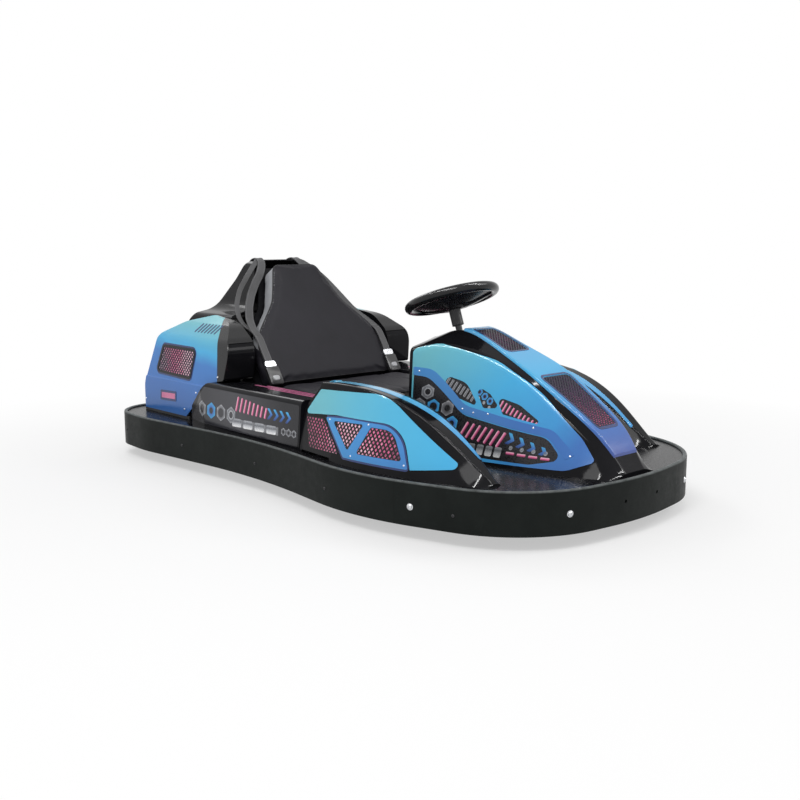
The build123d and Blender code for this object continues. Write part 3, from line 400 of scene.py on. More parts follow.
def slab_ring(a, b, length, width, angle_deg, corner=0.3):
    """Rounded bar about (a, b), its length at an angle."""
    return put_ring(a, b, angle_deg, four(length / 2, width / 2), min(width, length) * corner)


def nut_ring(a, b, radius, turn_deg):
    shape = disc_ring(0, 0, radius, 6)
    return put_ring(a, b, turn_deg, shape, radius * 0.12, 5.0)


def clipped(cell, ring):
    """The part of a polygon inside a convex, counterclockwise ring."""
    kept = list(cell)
    for start, here in edges(ring):
        edge = here - start
        if edge.length < 1e-6:
            continue
        made = []
        for last, spot in edges(kept):
            side, before = edge.cross(spot - start), edge.cross(last - start)
            if (side >= 0) != (before >= 0):
                made.append(last.lerp(spot, before / (before - side)))
            if side >= 0:
                made.append(spot)
        kept = made
        if len(kept) < 3:
            return []
    return kept


def lattice(corners, pitch, bar, rim, squeeze=1.0):
    """Diamond holes that leave a mesh of bars inside a convex outline: pitch from hole to hole, rim kept whole."""
    outer = winding(rounded(shrunk(corners, rim), 6.0))
    turn = Matrix.Rotation(math.radians(45.0), 2)
    centre = sum(outer, Vector((0, 0))) / len(outer)
    reach = int(max((p - centre).length for p in outer) / pitch / min(1.0, squeeze)) + 2
    half = (pitch - bar) / 2
    holes = []
    for i in range(-reach, reach + 1):
        for j in range(-reach, reach + 1):
            spots = [turn @ Vector((i * pitch + x, j * pitch + y)) for x, y in four(half, half)]
            hole = [centre + Vector((spot.x, spot.y * squeeze)) for spot in spots]
            part = clipped(hole, outer)
            if len(part) > 2 and area(part) > 0.12 * area(hole):
                holes.append(part)
    return holes


def tiles(region, step_a, step_b, maker):
    """Rings that maker(a, b) draws on a staggered grid, wholly inside a region, as (ring, a, b, column, row)."""
    low, high = span(region)
    made = []
    for j in range(int((high.y - low.y) / step_b) + 2):
        for i in range(int((high.x - low.x) / step_a) + 2):
            a, b = low.x + (i + 0.5 * (j % 2)) * step_a, low.y + j * step_b
            ring = maker(a, b)
            if all(inside(p, region) and margin(p, region) > 2.0 for p in ring):
                made.append((ring, a, b, i, j))
    return made


def fill(outer, holes, step):
    """Triangles inside a ring and outside its holes. A step above 0 adds a grid of inner points."""
    points, loops = [], []
    for ring in [outer] + holes:
        loops.append(list(range(len(points), len(points) + len(ring))))
        points += winding(ring)
    low, high = span(outer)
    for i in range(int((high.x - low.x) / step) + 1 if step else 0):
        for j in range(int((high.y - low.y) / step) + 1):
            spot = Vector((low.x + (i + 0.5 + 0.25 * (j % 2)) * step, low.y + (j + 0.5) * step))
            if not inside(spot, outer) or any(inside(spot, hole) for hole in holes):
                continue
            if all(margin(spot, ring) >= step * 0.45 for ring in [outer] + holes):
                points.append(spot)
    spots, _, triangles, _, _, origin = delaunay_2d_cdt(points, [], loops, 1, 1e-4)
    return spots, [t for t, source in zip(triangles, origin) if source and set(source) == {0}]


# Skins: where films and fittings lie on the mouldings


class Skin:
    """Outer faces of CAD nodes, reached by a straight look from outside."""

    LOOKS = {
        "side": (lambda a, b: Vector((a, -3000, b)), LEFT),
        "top": (lambda a, b: Vector((a, b, 3000)), -UP),
        "front": (lambda a, b: Vector((3000, a, b)), Vector((-1, 0, 0))),
        "rear": (lambda a, b: Vector((-3000, a, b)), Vector((1, 0, 0))),
    }

    def __init__(self, look, *names):
        self.points, self.faces, self.normals = [], [], []
        for name in names:
            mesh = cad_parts[name].data
            base = len(self.points)
            self.points += [v.co / MM for v in mesh.vertices]
            mesh.calc_loop_triangles()
            for triangle in mesh.loop_triangles:
                self.faces.append([base + v for v in triangle.vertices])
                self.normals.append([Vector(n) for n in triangle.split_normals])
        self.tree = BVHTree.FromPolygons(self.points, self.faces)
        self.start, self.way = self.LOOKS[look]

    def at(self, a, b):
        """Point and smooth outward normal of the skin under (a, b)."""
        start = self.start(a, b)
        spot, flat, index, _ = self.tree.ray_cast(start, self.way)
        if spot is None:
            spot, flat, index, _ = self.tree.find_nearest(start + self.way * 2500)
        corners = [self.points[i] for i in self.faces[index]]
        total = (corners[1] - corners[0]).cross(corners[2] - corners[0]).length or 1.0
        smooth = Vector((0, 0, 0))
        for k in range(3):
            part = (corners[k - 2] - spot).cross(corners[k - 1] - spot).length
            smooth += self.normals[index][k] * (part / total)
        smooth = smooth.normalized() if smooth.length > 0.1 else flat
        return spot, -smooth if smooth.dot(self.way) > 0 else smooth


class Bridged(Skin):
    """A side skin whose opening is closed by a straight surface between two upright lines. Each line is
    (x, y at BRIDGE_FOOT, lean of y per mm of height)."""

    def __init__(self, name, back, front):
        super().__init__("side", name)
        self.back, self.front = back, front

    def at(self, a, b):
        spot, normal = super().at(a, b)
        length = self.front[0] - self.back[0]
        share = (a - self.back[0]) / length
        if not 0 <= share <= 1:
            return spot, normal
        rear, fore = (line[1] + line[2] * (b - BRIDGE_FOOT) for line in (self.back, self.front))
        y = rear + (fore - rear) * share
        if abs(spot.x - a) < 0.5 and abs(spot.z - b) < 0.5 and spot.y < y + 8:
            return spot, normal
        lean = self.back[2] + (self.front[2] - self.back[2]) * share
        return Vector((a, y, b)), Vector(((fore - rear) / length, -1, lean)).normalized()


# Pieces


def place_object(name, data):
    thing = bpy.data.objects.new(name, data)
    bpy.context.scene.collection.objects.link(thing)
    return thing


def smooth_mesh(name, points, faces, normals=None, shades=None):
    """Smooth mesh of millimetre points, with its own normals and shade numbers where given."""
    mesh = bpy.data.meshes.new(name)
    mesh.from_pydata([p * MM for p in points], [], faces)
    mesh.shade_smooth()
    if shades:
        mesh.attributes.new("shade", "FLOAT", "POINT").data.foreach_set("value", shades)
    if normals:
        mesh.normals_split_custom_set_from_vertices([tuple(n) for n in normals])
    return mesh


def link(name, mesh, material, body):
    thing = place_object(name, mesh)
    mesh.materials.append(MATERIALS[material])
    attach(thing, body)
    return thing


def across(vector):
    """The mirror image of a point or direction on the kart's other side."""
    return Vector((vector.x, -vector.y, vector.z))


def pieces(name, points, faces, material, both=True, body="chassis", normals=None, shades=None):
    """One piece, or the right piece and its mirror image on the left."""
    if not both:
        return [link(name, smooth_mesh(name, points, faces, normals, shades), material, body)]
    right = link(name + "_right", smooth_mesh(name, points, faces, normals, shades), material, body)
    points = [across(p) for p in points]
    faces = [face[::-1] for face in faces]
    normals = [across(n) for n in normals] if normals else None
    return [right, link(name + "_left", smooth_mesh(name, points, faces, normals, shades), material, body)]


def plain(*rings):
    return [(ring, [], None) for ring in rings]


def film(name, shapes, skin, lift, material, step=9.0, edge=0.7, both=True):
    """Printed film or raised sheet on a skin. Each shape is (outer ring, holes, shade), where shade gives a
    number from 0 to 1 over the shape. The sheet has its edge wall down to the skin."""
    points, faces, normals, shades = [], [], [], []
    for outer, holes, shade in shapes:
        spots, triangles = fill(outer, holes, step)
        base = len(points)
        for spot in spots:
            place, normal = skin.at(spot.x, spot.y)
            points.append(place + normal * lift)
            normals.append(normal)
            shades.append(shade(spot) if shade else 0.5)
        # A triangle that would dip under a bulge of the skin is raised
        rise = [0.0] * len(spots)
        for triangle in triangles:
            middle = sum((spots[i] for i in triangle), Vector((0, 0))) / 3
            place, normal = skin.at(middle.x, middle.y)
            flat = sum((points[base + i] for i in triangle), Vector((0, 0, 0))) / 3
            short = lift * 0.8 - (flat - place).dot(normal)
            if 0 < short < 6:
                for i in triangle:
                    rise[i] = max(rise[i], short)
        for i, height in enumerate(rise):
            points[base + i] += normals[base + i] * height
        border = {}
        for triangle in triangles:
            face = [base + i for i in triangle]
            a, b, c = (points[i] for i in face)
            if (b - a).cross(c - a).dot(normals[face[0]]) < 0:
                face.reverse()
            faces.append(face)
            for first, last in edges(face):
                if border.pop((last, first), None) is None:
                    border[first, last] = True
        for first, last in border:
            start = len(points)
            for i in (first, last):
                wall = (points[last] - points[first]).cross(normals[i])
                for drop in (0.0, lift + edge):
                    points.append(points[i] - normals[i] * drop)
                    normals.append(wall.normalized() if wall.length > 1e-6 else normals[i])
                    shades.append(shades[i])
            faces.append([start, start + 1, start + 3, start + 2])
    return pieces(name, points, faces, material, both, normals=normals, shades=shades)


def mend_normals(mesh):
    work = bmesh.new()
    work.from_mesh(mesh)
    bmesh.ops.recalc_face_normals(work, faces=work.faces)
    work.to_mesh(mesh)
    work.free()


class Build:
    """A solid or sheet under way, in mm."""

    def __init__(self):
        self.points, self.faces = [], []

    def wall(self, first, second, count, back=False):
        """Faces between two rings of points, by the number of each ring's first point."""
        for k in range(count):
            ahead = (k + 1) % count
            face = [first + k, first + ahead, second + ahead, second + k]
            self.faces.append(face[:1] + face[:0:-1] if back else face)

    def cap(self, first, count, back=False):
        face = list(range(first, first + count))
        self.faces.append(face[::-1] if back else face)

    def tube(self, path, wide, high, sides, way=None, closed=False):
        """Tube of half sizes wide and high along a path. With a way for its width to run, it has flatter sides."""
        count, base = len(path), len(self.points)
        for i, here in enumerate(path):
            ahead = path[(i + 1) % count] if closed or i < count - 1 else here
            back = path[i - 1] if closed or i > 0 else here
            run = (ahead - back).normalized()
            out = way - run * way.dot(run) if way is not None else run.cross(UP)
            if out.length < 1e-3:
                out = run.cross(Vector((1, 0, 0)))
            out.normalize()
            rise = out.cross(run).normalized()
            for k in range(sides):
                angle = math.tau * (k + 0.5) / sides
                a, b = math.cos(angle), math.sin(angle)
                if way is not None:
                    a, b = clamp(a * 1.35, -1.0), clamp(b * 1.35, -1.0)
                self.points.append(here + out * (a * wide) + rise * (b * high))
        for i in range(count if closed else count - 1):
            self.wall(base + i * sides, base + (i + 1) % count * sides, sides, True)
        if not closed:
            self.cap(base, sides)
            self.cap(base + (count - 1) * sides, sides, True)

    def lathe(self, origin, axis, profile, parts, ends="capped"):
        """Surface turned about an axis from (reach along the axis, radius) pairs. Its ends are capped, open or
        joined to each other."""
        side = axis.orthogonal().normalized()
        other = axis.cross(side)
        base = len(self.points)
        last = base + (len(profile) - 1) * parts
        for reach, radius in profile:
            for k in range(parts):
                angle = math.tau * k / parts
                out = side * math.cos(angle) + other * math.sin(angle)
                self.points.append(origin + axis * reach + out * radius)
        for first in range(base, last, parts):
            self.wall(first, first + parts, parts)
        if ends == "capped":
            self.cap(base, parts, True)
            self.cap(last, parts)
        if ends == "joined":
            self.wall(base, last, parts, True)

    def finish(self, name, material, both=True, body="chassis", mend=False, angle=None):
        """The pieces, with sharp edges where faces meet over an angle in degrees."""
        made = pieces(name, self.points, self.faces, material, both, body)
        for thing in made:
            if mend:
                mend_normals(thing.data)
            if angle is not None:
                thing.data.set_sharp_from_angle(angle=math.radians(angle))
        return made


def domes(name, spots, radius, height, material, washer=0.0, socket=0.0, **options):
    """Bolt or rivet heads: each spot is (place, outward normal)."""
    foot = 1.3 if washer else 0.0
    profile = [(-1.0, washer), (0.9, washer), (1.3, washer - 0.5), (1.3, radius + 0.2)] if washer else [(-1.0, radius)]
    profile.append((foot + height * 0.25, radius))
    for share in (0.35, 0.6, 0.85):
        angle = share * math.pi / 2
        profile.append((foot + height * (0.25 + 0.75 * math.sin(angle)), radius * math.cos(angle) ** 0.6))
    if socket:
        profile += [(foot + height, socket), (foot + height * 0.45, socket * 0.95), (foot + height * 0.4, 0.01)]
    else:
        profile.append((foot + height, 0.01))
    build = Build()
    for place, normal in spots:
        build.lathe(place, normal, profile, 20)
    build.finish(name, material, angle=40, **options)


# Finish of the CAD nodes


NODE_FINISH = {
    "band": "band_front band_right band_left band_rear",
    "frame": "side_rails cross_members band_struts kingpin_yokes column_support axle_bearings pedal_bracket "
             "body_brackets steering_column",
    "tray": "floor_tray",
    "deck": "deck_front deck_rear",
    "gloss": "hood arm_liner_right arm_liner_left back_fairing seat_pan pod_right pod_left",
    "sill": "sill_right sill_left",
    "spine": "hood_spine",
    "cowl": "cowl_right cowl_left",
    "glow": "spine_grilles",
    "vinyl": "seat_back_pad seat_base_pad",
    "webbing": "belt_webbing",
    "steel": "belt_buckles pedals tie_rod_left tie_rod_right knuckle_left knuckle_right rear_axle brake_disc",
    "motor": "battery_block motor_block brake_caliper",
    "grip": "steering_wheel",
    "rim": "front_rim_left front_rim_right rear_rims",
    "tyre": "front_tyre_left front_tyre_right rear_tyres",
}


def dress_nodes():
    for finish, names in NODE_FINISH.items():
        for name in names.split():
            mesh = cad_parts[name].data
            mesh.materials.clear()
            mesh.materials.append(MATERIALS[finish])


# Front pods


POD_PANEL = [(101, 263, 8), (165, 340, 12), (432, 352, 200), (700, 188, 10), (560, 171, 3), (504, 278, 110),
             (250, 277, 200)]
POD_FRAME = [(204, 266, 4), (300, 273, 120), (496, 273, 108), (552, 171, 3), (316, 170, 8)]
POD_WINDOWS = [[(240, 260, 5), (371, 266, 5), (328, 190, 6)],
               [(399, 262, 7), (478, 262, 60), (528, 189, 5), (364, 187, 6)]]
POD_REAR_MESH = [(108, 256, 6), (194, 260, 5), (298, 174, 5), (142, 170, 8)]
POD_CLOSING = [(104, 158, 4), (103, 266, 4), (150, 292, 8), (212, 292, 8), (262, 262, 8), (262, 158, 4)]
BRIDGE_FOOT = 150.0
POD_BRIDGE = ((100, -462, 0.176), (260, -481, 0.256))
POD_RIVETS = [(226, 262), (346, 178), (388, 268), (538, 180)]
POD_STRIPE = [(115, -390, 8), (300, -392, 0), (430, -384, 200), (560, -362, 120), (716, -342, 6), (700, -333, 6),
              (560, -338, 120), (430, -352, 200), (300, -358, 0), (115, -356, 8)]


def make_pods():
    side = Skin("side", "pod_right")
    bridged = Bridged("pod_right", *POD_BRIDGE)
    ring = rounded(POD_FRAME)
    film("pod_panel", plain(rounded(POD_PANEL)), bridged, 1.4, "pod_blue", 8.0)
    film("pod_frame", [(ring, [rounded(window, 5.0) for window in POD_WINDOWS], None)], side, 1.0, "frame_blue", 8.0)
    film("pod_outline", [(rounded(shrunk(POD_FRAME, -5.0)), [ring], None)], side, 0.5, "navy", 0)
    film("pod_closing", plain(rounded(POD_CLOSING)), bridged, 0.3, "sill", edge=2.0)
    for name, windows, skin, lift in (("pod", POD_WINDOWS, side, 0.2), ("pod_rear", [POD_REAR_MESH], bridged, 0.7)):
        rings = [rounded(window, 5.0) for window in windows]
        film(name + "_backing", plain(*rings), skin, lift, "glow_pod", edge=0.2)
        meshes = [(ring, lattice(window, 10.4, 4.4, 1.4, 1.2), None) for ring, window in zip(rings, windows)]
        film(name + "_mesh", meshes, skin, lift + 0.5, "dark", 0, 0.3)
    film("pod_stripe", plain(rounded(POD_STRIPE)), Skin("top", "pod_right"), 0.9, "stripe_blue")
    domes("pod_rivets", [side.at(x, z) for x, z in POD_RIVETS], 3.0, 2.2, "rivet")


# Printed artwork: shapes of (outer ring, holes, shade)


def across_shade(a, b, angle_deg, width):
    """Shade across a bar: 0 at one side, 1 at the other."""
    turn = math.radians(angle_deg)
    return lambda spot: clamp(0.5 + ((spot.y - b) * math.cos(turn) - (spot.x - a) * math.sin(turn)) / width)


def radial(a, b, radius):
    return lambda spot: min(1.0, math.hypot(spot.x - a, spot.y - b) / radius)


def bar(a, b, length, width, angle_deg):
    return slab_ring(a, b, length, width, angle_deg), [], across_shade(a, b, angle_deg, width)


def tile(a, b, length, width, angle_deg, shade_deg, shade_width):
    return slab_ring(a, b, length, width, angle_deg, 0.2), [], across_shade(a, b, shade_deg, shade_width)


def dot(a, b, radius):
    return disc_ring(a, b, radius), [], radial(a, b, radius + 0.5)


def nut(a, b, radius, hole, turn_deg):
    return nut_ring(a, b, radius, turn_deg), [disc_ring(a, b, hole)], radial(a, b, radius)


def chevron(a, b, size, angle_deg, shade_width):
    width = 12
    shape = [(-size, -size), (width - size, -size), (width, 0), (width - size, size), (-size, size), (0, 0)]
    return put_ring(a, b, angle_deg, shape, width * 0.12), [], across_shade(a, b, angle_deg, shade_width)


def row(count, a, b, step_a, step_b, shape):
    """Shapes in a row. Each is drawn by shape(a, b, its number)."""
    return [shape(a + step_a * k, b + step_b * k, k) for k in range(count)]


def honeycomb(region, pitch, radius, front):
    """Hexagon nuts, staggered, behind a front limit, sorted into three groups by their place in the pattern."""
    groups = [[], [], []]
    for _, a, b, i, j in tiles(region, pitch, pitch * 0.87, lambda a, b: nut_ring(a, b, radius, 30)):
        if a < front:
            groups[(i * 2 + j) % 3].append(nut(a, b, radius, radius * (0.4 if (i + j) % 2 else 0.56), 30))
    return groups


def print_art(name, groups, skin, lift, step):
    for colour, shapes in zip(("silver", "steel", "pink", "blue"), groups):
        film(f"{name}_art_{colour}", shapes, skin, lift, "art_" + colour, step, 0.2)


# Hood


HOOD_PANEL = [(303, 168, 8), (300, 450, 16), (366, 468, 60), (548, 428, 300), (700, 358, 500), (838, 246, 160),
              (884, 190, 8), (820, 163, 60), (560, 158, 0)]
HOOD_LOW = [(306, 376, 6), (352, 372, 60), (476, 274, 90), (640, 252, 200), (752, 240, 60), (806, 188, 14),
            (720, 168, 60), (306, 164, 6)]
HOOD_SLOTS = [
    [(372, 386, 14), (470, 362, 60), (524, 300, 6), (436, 322, 40)],
    [(492, 362, 10), (552, 338, 10), (592, 303, 7), (540, 298, 12)],
    [(572, 334, 10), (650, 318, 80), (736, 270, 5), (606, 288, 10)],
]
HOOD_BRACE = [(304, 398, 3), (360, 394, 60), (478, 300, 90), (640, 277, 200), (762, 262, 60), (834, 204, 4),
              (812, 190, 4), (754, 242, 60), (640, 254, 200), (474, 276, 90), (350, 370, 60), (304, 374, 3)]
HOOD_RIVETS = [(474, 290), (512, 283), (706, 262), (822, 200), (560, 284), (322, 386)]
SPINE_GRILLES = [[(400, -36, 10), (533, -42, 10), (533, 42, 10), (400, 36, 10)],
                 [(670, -56, 10), (850, -40, 10), (850, 40, 10), (670, 56, 10)]]


def make_hood():
    side = Skin("side", "hood")
    low = rounded(HOOD_LOW)
    slots = [rounded(slot, 5.0) for slot in HOOD_SLOTS]
    film("hood_panel", [(rounded(HOOD_PANEL), [low] + slots, None)], side, 1.0, "hood_blue", 7.0)
    film("hood_recess", plain(low, *slots), side, 0.1, "art_ground", edge=0.2)
    film("hood_brace", plain(rounded(HOOD_BRACE)), side, 1.7, "frame_blue", 7.0)
    domes("hood_rivets", [side.at(x, z) for x, z in HOOD_RIVETS], 3.0, 3.0, "rivet")
    silver, steel, blue = honeycomb(low, 47.0, 22.0, 462)
    silver += row(6, 474, 188, 29, 0, lambda x, z, k: tile(x, z, 27, 22, 90, 0, 30))
    silver += row(4, 656, 204, 34, -1, lambda x, z, k: dot(x, z, 5.5))
    silver += row(3, 518, 324, 20, -11, lambda x, z, k: dot(x, z, 4.5))
    steel += [bar(a, b, 40, 7.5, 62) for _, a, b, _, _ in tiles(
        slots[0], 13.0, 70.0, lambda a, b: slab_ring(a, b, 40, 7.5, 62))]
    steel += row(9, 396, 366, 13, -5.2, lambda x, z, k: bar(x, z, 26 if k else 18, 6.5, 66))
    pink = row(7, 494, 236, 21, -2.5, lambda x, z, k: bar(x, z, 44, 9, 66))
    pink += row(4, 658, 190, 34, -1, lambda x, z, k: bar(x, z, 25, 7, 0))
    pink += row(10, 594, 311, 13, -4.3, lambda x, z, k: bar(x, z, 27 - 1.9 * k, 6.5, 70))
    blue += row(4, 650, 226, 33, -7, lambda x, z, k: chevron(x, z, 15 - 1.5 * k, -12, 28))
    blue += row(3, 516, 341, 20, -11, lambda x, z, k: nut(x, z, 11, 4.5, 0))
    print_art("hood", (silver, steel, pink, blue), side, 0.5, 5.0)
    meshes = [(rounded(corners), lattice(corners, 7.6, 2.2, 0.8), None) for corners in SPINE_GRILLES]
    film("spine_mesh", meshes, Skin("top", "spine_grilles"), 1.6, "mesh_dark", 0, 0.4, False)
    rims = [(rounded(shrunk(corners, -9.0)), [rounded(shrunk(corners, -3.0))], None) for corners in SPINE_GRILLES]
    film("spine_frames", rims, Skin("top", "hood_spine"), 0.8, "navy", 0, both=False)


# Rear cowls


COWL_WINDOW = [(-800, 298, 16), (-764, 398, 18), (-546, 396, 18), (-570, 290, 16)]
COWL_SLOT = [(-768, 200, 6), (-764, 236, 6), (-656, 240, 6), (-660, 204, 6)]
COWL_RIVETS = [(-872, 192), (-606, 184), (-528, 250), (-404, 315)]


def make_cowls():
    side = Skin("side", "cowl_right")
    window = rounded(COWL_WINDOW)
    corners = shrunk(COWL_WINDOW, 8.0)
    inner = rounded(corners)
    film("cowl_window_edge", [(rounded(shrunk(COWL_WINDOW, -6.0)), [window], None)], side, 0.7, "navy", 0)
    film("cowl_window_frame", [(window, [inner], None)], side, 2.4, "dark")
    film("cowl_window_backing", plain(inner), side, 0.12, "glow_cowl", edge=0.2)
    film("cowl_window_mesh", [(inner, lattice(corners, 11.0, 3.2, 0.8), None)], side, 1.5, "mesh_dark", 0, 0.6)
    lens = rounded(shrunk(COWL_SLOT, 8.0), 5.0)
    film("cowl_slot_frame", [(rounded(COWL_SLOT, 5.0), [lens], None)], side, 1.2, "navy")
    film("cowl_slot_lens", plain(lens), side, 0.7, "lens_pink")
    domes("cowl_rivets", [side.at(x, z) for x, z in COWL_RIVETS], 3.4, 2.2, "rivet")
    louvres = plain(*(slab_ring(20 * k - 590, -366, 34, 8, 64, 0.45) for k in range(7)))
    film("cowl_louvres", louvres, Skin("top", "cowl_right"), 0.5, "navy", 6.0)


# Rubber seals between the rear bodywork and its deck


SEAL_Z = 155.6
COWL_SEAL = [(-577, -424), (-700, -424), (-862, -424), (-884, -420), (-898, -410), (-904, -396), (-905, -370),
             (-905, -301)]
FAIRING_SEAL = [(-891, -297), (-891, -100), (-891, 100), (-891, 297)]


def make_seals():
    for name, path, both in (("cowl_seal", COWL_SEAL, True), ("fairing_seal", FAIRING_SEAL, False)):
        build = Build()
        build.tube([Vector((x, y, SEAL_Z)) for x, y in path], 5.2, 2.0, 12, UP)
        build.finish(name, "tyre", both, angle=50)


# Sills


SILL_PANEL = [(-540, 162, 8), (-436, 284, 14), (84, 284, 8), (84, 160, 4)]


def make_sills():
    side = Skin("side", "sill_right")
    panel = rounded(SILL_PANEL)
    film("sill_panel", plain(panel), side, 0.5, "sill_print", 12.0)
    silver, steel, blue = honeycomb(panel, 58.0, 27.0, -268)
    silver += row(4, -236, 190, 62, 1, lambda x, z, k: tile(x, z, 50, 26, 2, 2, 26))
    steel += row(4, -205, 190, 62, 1, lambda x, z, k: bar(x, z, 26, 8, 92))
    steel += row(3, 12, 196, 26, 0, lambda x, z, k: nut(x, z, 12, 5, 30))
    pink = row(8, -236, 250, 22, -1.5, lambda x, z, k: bar(x, z, 48 - 2 * k, 9.5, 76))
    blue += row(4, -58, 240, 31, 0, lambda x, z, k: chevron(x, z, 17, 0, 34))
    print_art("sill", (silver, steel, pink, blue), side, 0.9, 6.0)
    stripes = plain(*(slab_ring((start + 84) / 2, y, 84 - start, 9, 0)
                      for start, y in ((-250, -326), (-290, -346), (-190, -366))))
    film("sill_stripes", stripes, Skin("top", "sill_right"), 0.5, "lens_pink", 12.0, 0.3)


# Bumper bolts, as (look, place), the right ones mirrored


BRIGHT_BOLTS = [("side", 607, 91), ("front", -262, 94), ("front", -72, 98), ("rear", -72, 98)]
DARK_BOLTS = [("side", 724, 84), ("side", 300, 88), ("side", -90, 88), ("side", -480, 88), ("side", -840, 92),
              ("rear", -330, 94)]


def make_bolts():
    skins = {look: Skin(look, "band_right", "band_front", "band_rear") for look in ("side", "front", "rear")}
    bright, dark = ([skins[look].at(a, b) for look, a, b in bolts] for bolts in (BRIGHT_BOLTS, DARK_BOLTS))
    domes("band_bolts", bright, 6.6, 4.0, "steel", washer=9.0, socket=3.0)
    domes("band_screws", dark, 4.4, 2.2, "bolt_dark", socket=2.0)


# Seat


SEAT_FACING = Vector((math.cos(SEAT_LEAN), 0, math.sin(SEAT_LEAN)))
SEAT_RISE = Vector((-math.sin(SEAT_LEAN), 0, math.cos(SEAT_LEAN)))
BACK_PAD = [(268, 6, 25), (284, 150, 45), (250, 215, 60), (160, 318, 130), (96, 468, 34), (-96, 468, 34),
            (-160, 318, 130), (-250, 215, 60), (-284, 150, 45), (-268, 6, 25)]
BASE_PAD = [(-268, -272, 14), (268, -272, 14), (268, 74, 26), (-268, 74, 26)]
BACK_DEPTHS = (6.0, 76.0)
BASE_LEVELS = (212.0, 283.0)
PAD_SWELL = 7.0
CLOTH_FRAMES = 20
# How far the swollen pads may reach, clear of the pan
BACK_LIMITS = (-2.5, 77.6)
BACK_SIDE = 285.5
BASE_SIDE = 278.5
BASE_UNDERSIDE = 208.5
PIPING_DEPTH = 10.0
PIPING_LEVEL = 278.0
# The light gusset: its height up the back, the rise over which it widens, its width and its least distance out
GUSSET_FROM, GUSSET_TO, GUSSET_RISE, GUSSET_WIDTH, GUSSET_OUT = 130, 456, 90, 66, 70


def seat_spot(out, up, depth):
    """Point of the seat back: out to the kart's left, up the back, and depth behind the pad's front face."""
    return SEAT_FOOT + LEFT * out + SEAT_RISE * up - SEAT_FACING * depth


def base_spot(out, ahead, height):
    return Vector((ahead, out, height))


def settled(thing):
    """The thing's mesh with its modifiers applied."""
    mesh = bpy.data.meshes.new_from_object(thing.evaluated_get(bpy.context.evaluated_depsgraph_get()))
    thing.modifiers.clear()
    thing.data = mesh
    return mesh


def refined(thing):
    fine = thing.modifiers.new("fine", "SUBSURF")
    fine.levels = fine.render_levels = 1
    return settled(thing)


def pad(name, ring, low, high, place):
    """Closed solid between two levels of a plane outline, put where place says and swollen like a filled cover:
    remesh, then cloth under pressure, with each point's move capped."""
    spots, triangles = fill(ring, [], 16.0)
    count, size = len(ring), len(spots)
    points = [place(spot.x, spot.y, level) for level in (low, high) for spot in spots]
    faces = [list(t) for t in triangles] + [[size + i for i in reversed(t)] for t in triangles]
    faces += [[i, i + size, (i + 1) % count + size, (i + 1) % count] for i in range(count)]
    mesh = smooth_mesh(name, points, faces)
    mend_normals(mesh)
    thing = place_object(name, mesh)
    remesh = thing.modifiers.new("remesh", "REMESH")
    remesh.mode = "VOXEL"
    remesh.voxel_size = 6.0 * MM
    settled(thing)
    ease = thing.modifiers.new("ease", "SMOOTH")
    ease.factor = 0.6
    ease.iterations = 5
    mesh = settled(thing)
    rest = [v.co.copy() for v in mesh.vertices]
    cloth = thing.modifiers.new("cloth", "CLOTH")
    cloth.settings.use_pressure = True
    cloth.settings.uniform_pressure_force = 4.0
    cloth.settings.effector_weights.gravity = 0
    cloth.collision_settings.use_collision = False
    cloth.point_cache.frame_start = 1
    cloth.point_cache.frame_end = CLOTH_FRAMES
    for number in range(1, CLOTH_FRAMES + 1):
        bpy.context.scene.frame_set(number)
    mesh = settled(thing)
    bpy.context.scene.frame_set(1)
    for vertex, start in zip(mesh.vertices, rest):
        move = vertex.co - start
        if move.length > PAD_SWELL * MM:
            vertex.co = start + move.normalized() * PAD_SWELL * MM
    mesh.shade_smooth()
    return thing


def channel(mesh, lines, depth, width, ahead):
    """Presses sewn lines of mm points into a pad, along the way it faces."""
    for vertex in mesh.vertices:
        near = min(off_line(vertex.co / MM, *line) for line in lines)
        if near < width * 3:
            vertex.co -= ahead * (depth * math.exp(-(near / width) ** 2)) * MM


def make_piping(name, line, radius, mesh):
    """Piping along a closed line of mm points that is drawn on to a mesh and eased."""
    faces = [tuple(face.vertices) for face in mesh.polygons]
    tree = BVHTree.FromPolygons([v.co / MM for v in mesh.vertices], faces)
    line = [tree.find_nearest(spot)[0] for spot in line]
    for _ in range(2):
        line = [(line[i - 1] + here * 2 + line[(i + 1) % len(line)]) / 4 for i, here in enumerate(line)]
    build = Build()
    build.tube(line, radius, radius, 8, closed=True)
    build.finish(name, "piping", False)


def make_back():
    outline = shrunk(BACK_PAD, 1.0)
    back = pad("seat_back", rounded(outline, 12.0), *BACK_DEPTHS, seat_spot)
    for vertex in back.data.vertices:
        depth = -(vertex.co / MM - SEAT_FOOT).dot(SEAT_FACING)
        vertex.co += SEAT_FACING * (depth - clamp(depth, *BACK_LIMITS)) * MM
        vertex.co.y = clamp(vertex.co.y, -BACK_SIDE * MM, BACK_SIDE * MM)
    back.data.materials.append(MATERIALS["vinyl"])
    back.data.materials.append(MATERIALS["gusset"])
    mesh = refined(back)
    for face in mesh.polygons:
        spot = face.center / MM - SEAT_FOOT
        depth, up = -spot.dot(SEAT_FACING), spot.dot(SEAT_RISE)
        reach = PIPING_DEPTH + GUSSET_WIDTH * clamp((up - GUSSET_FROM) / GUSSET_RISE)
        if PIPING_DEPTH < depth < reach and GUSSET_FROM < up < GUSSET_TO and abs(spot.y) > GUSSET_OUT:
            face.material_index = 1
    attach(back, "chassis")
    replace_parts(back, "seat_back_pad")
    line = [seat_spot(spot.x, spot.y, PIPING_DEPTH) for spot in rounded(outline, 10.0)]
    make_piping("seat_back_piping", line, 3.0, mesh)


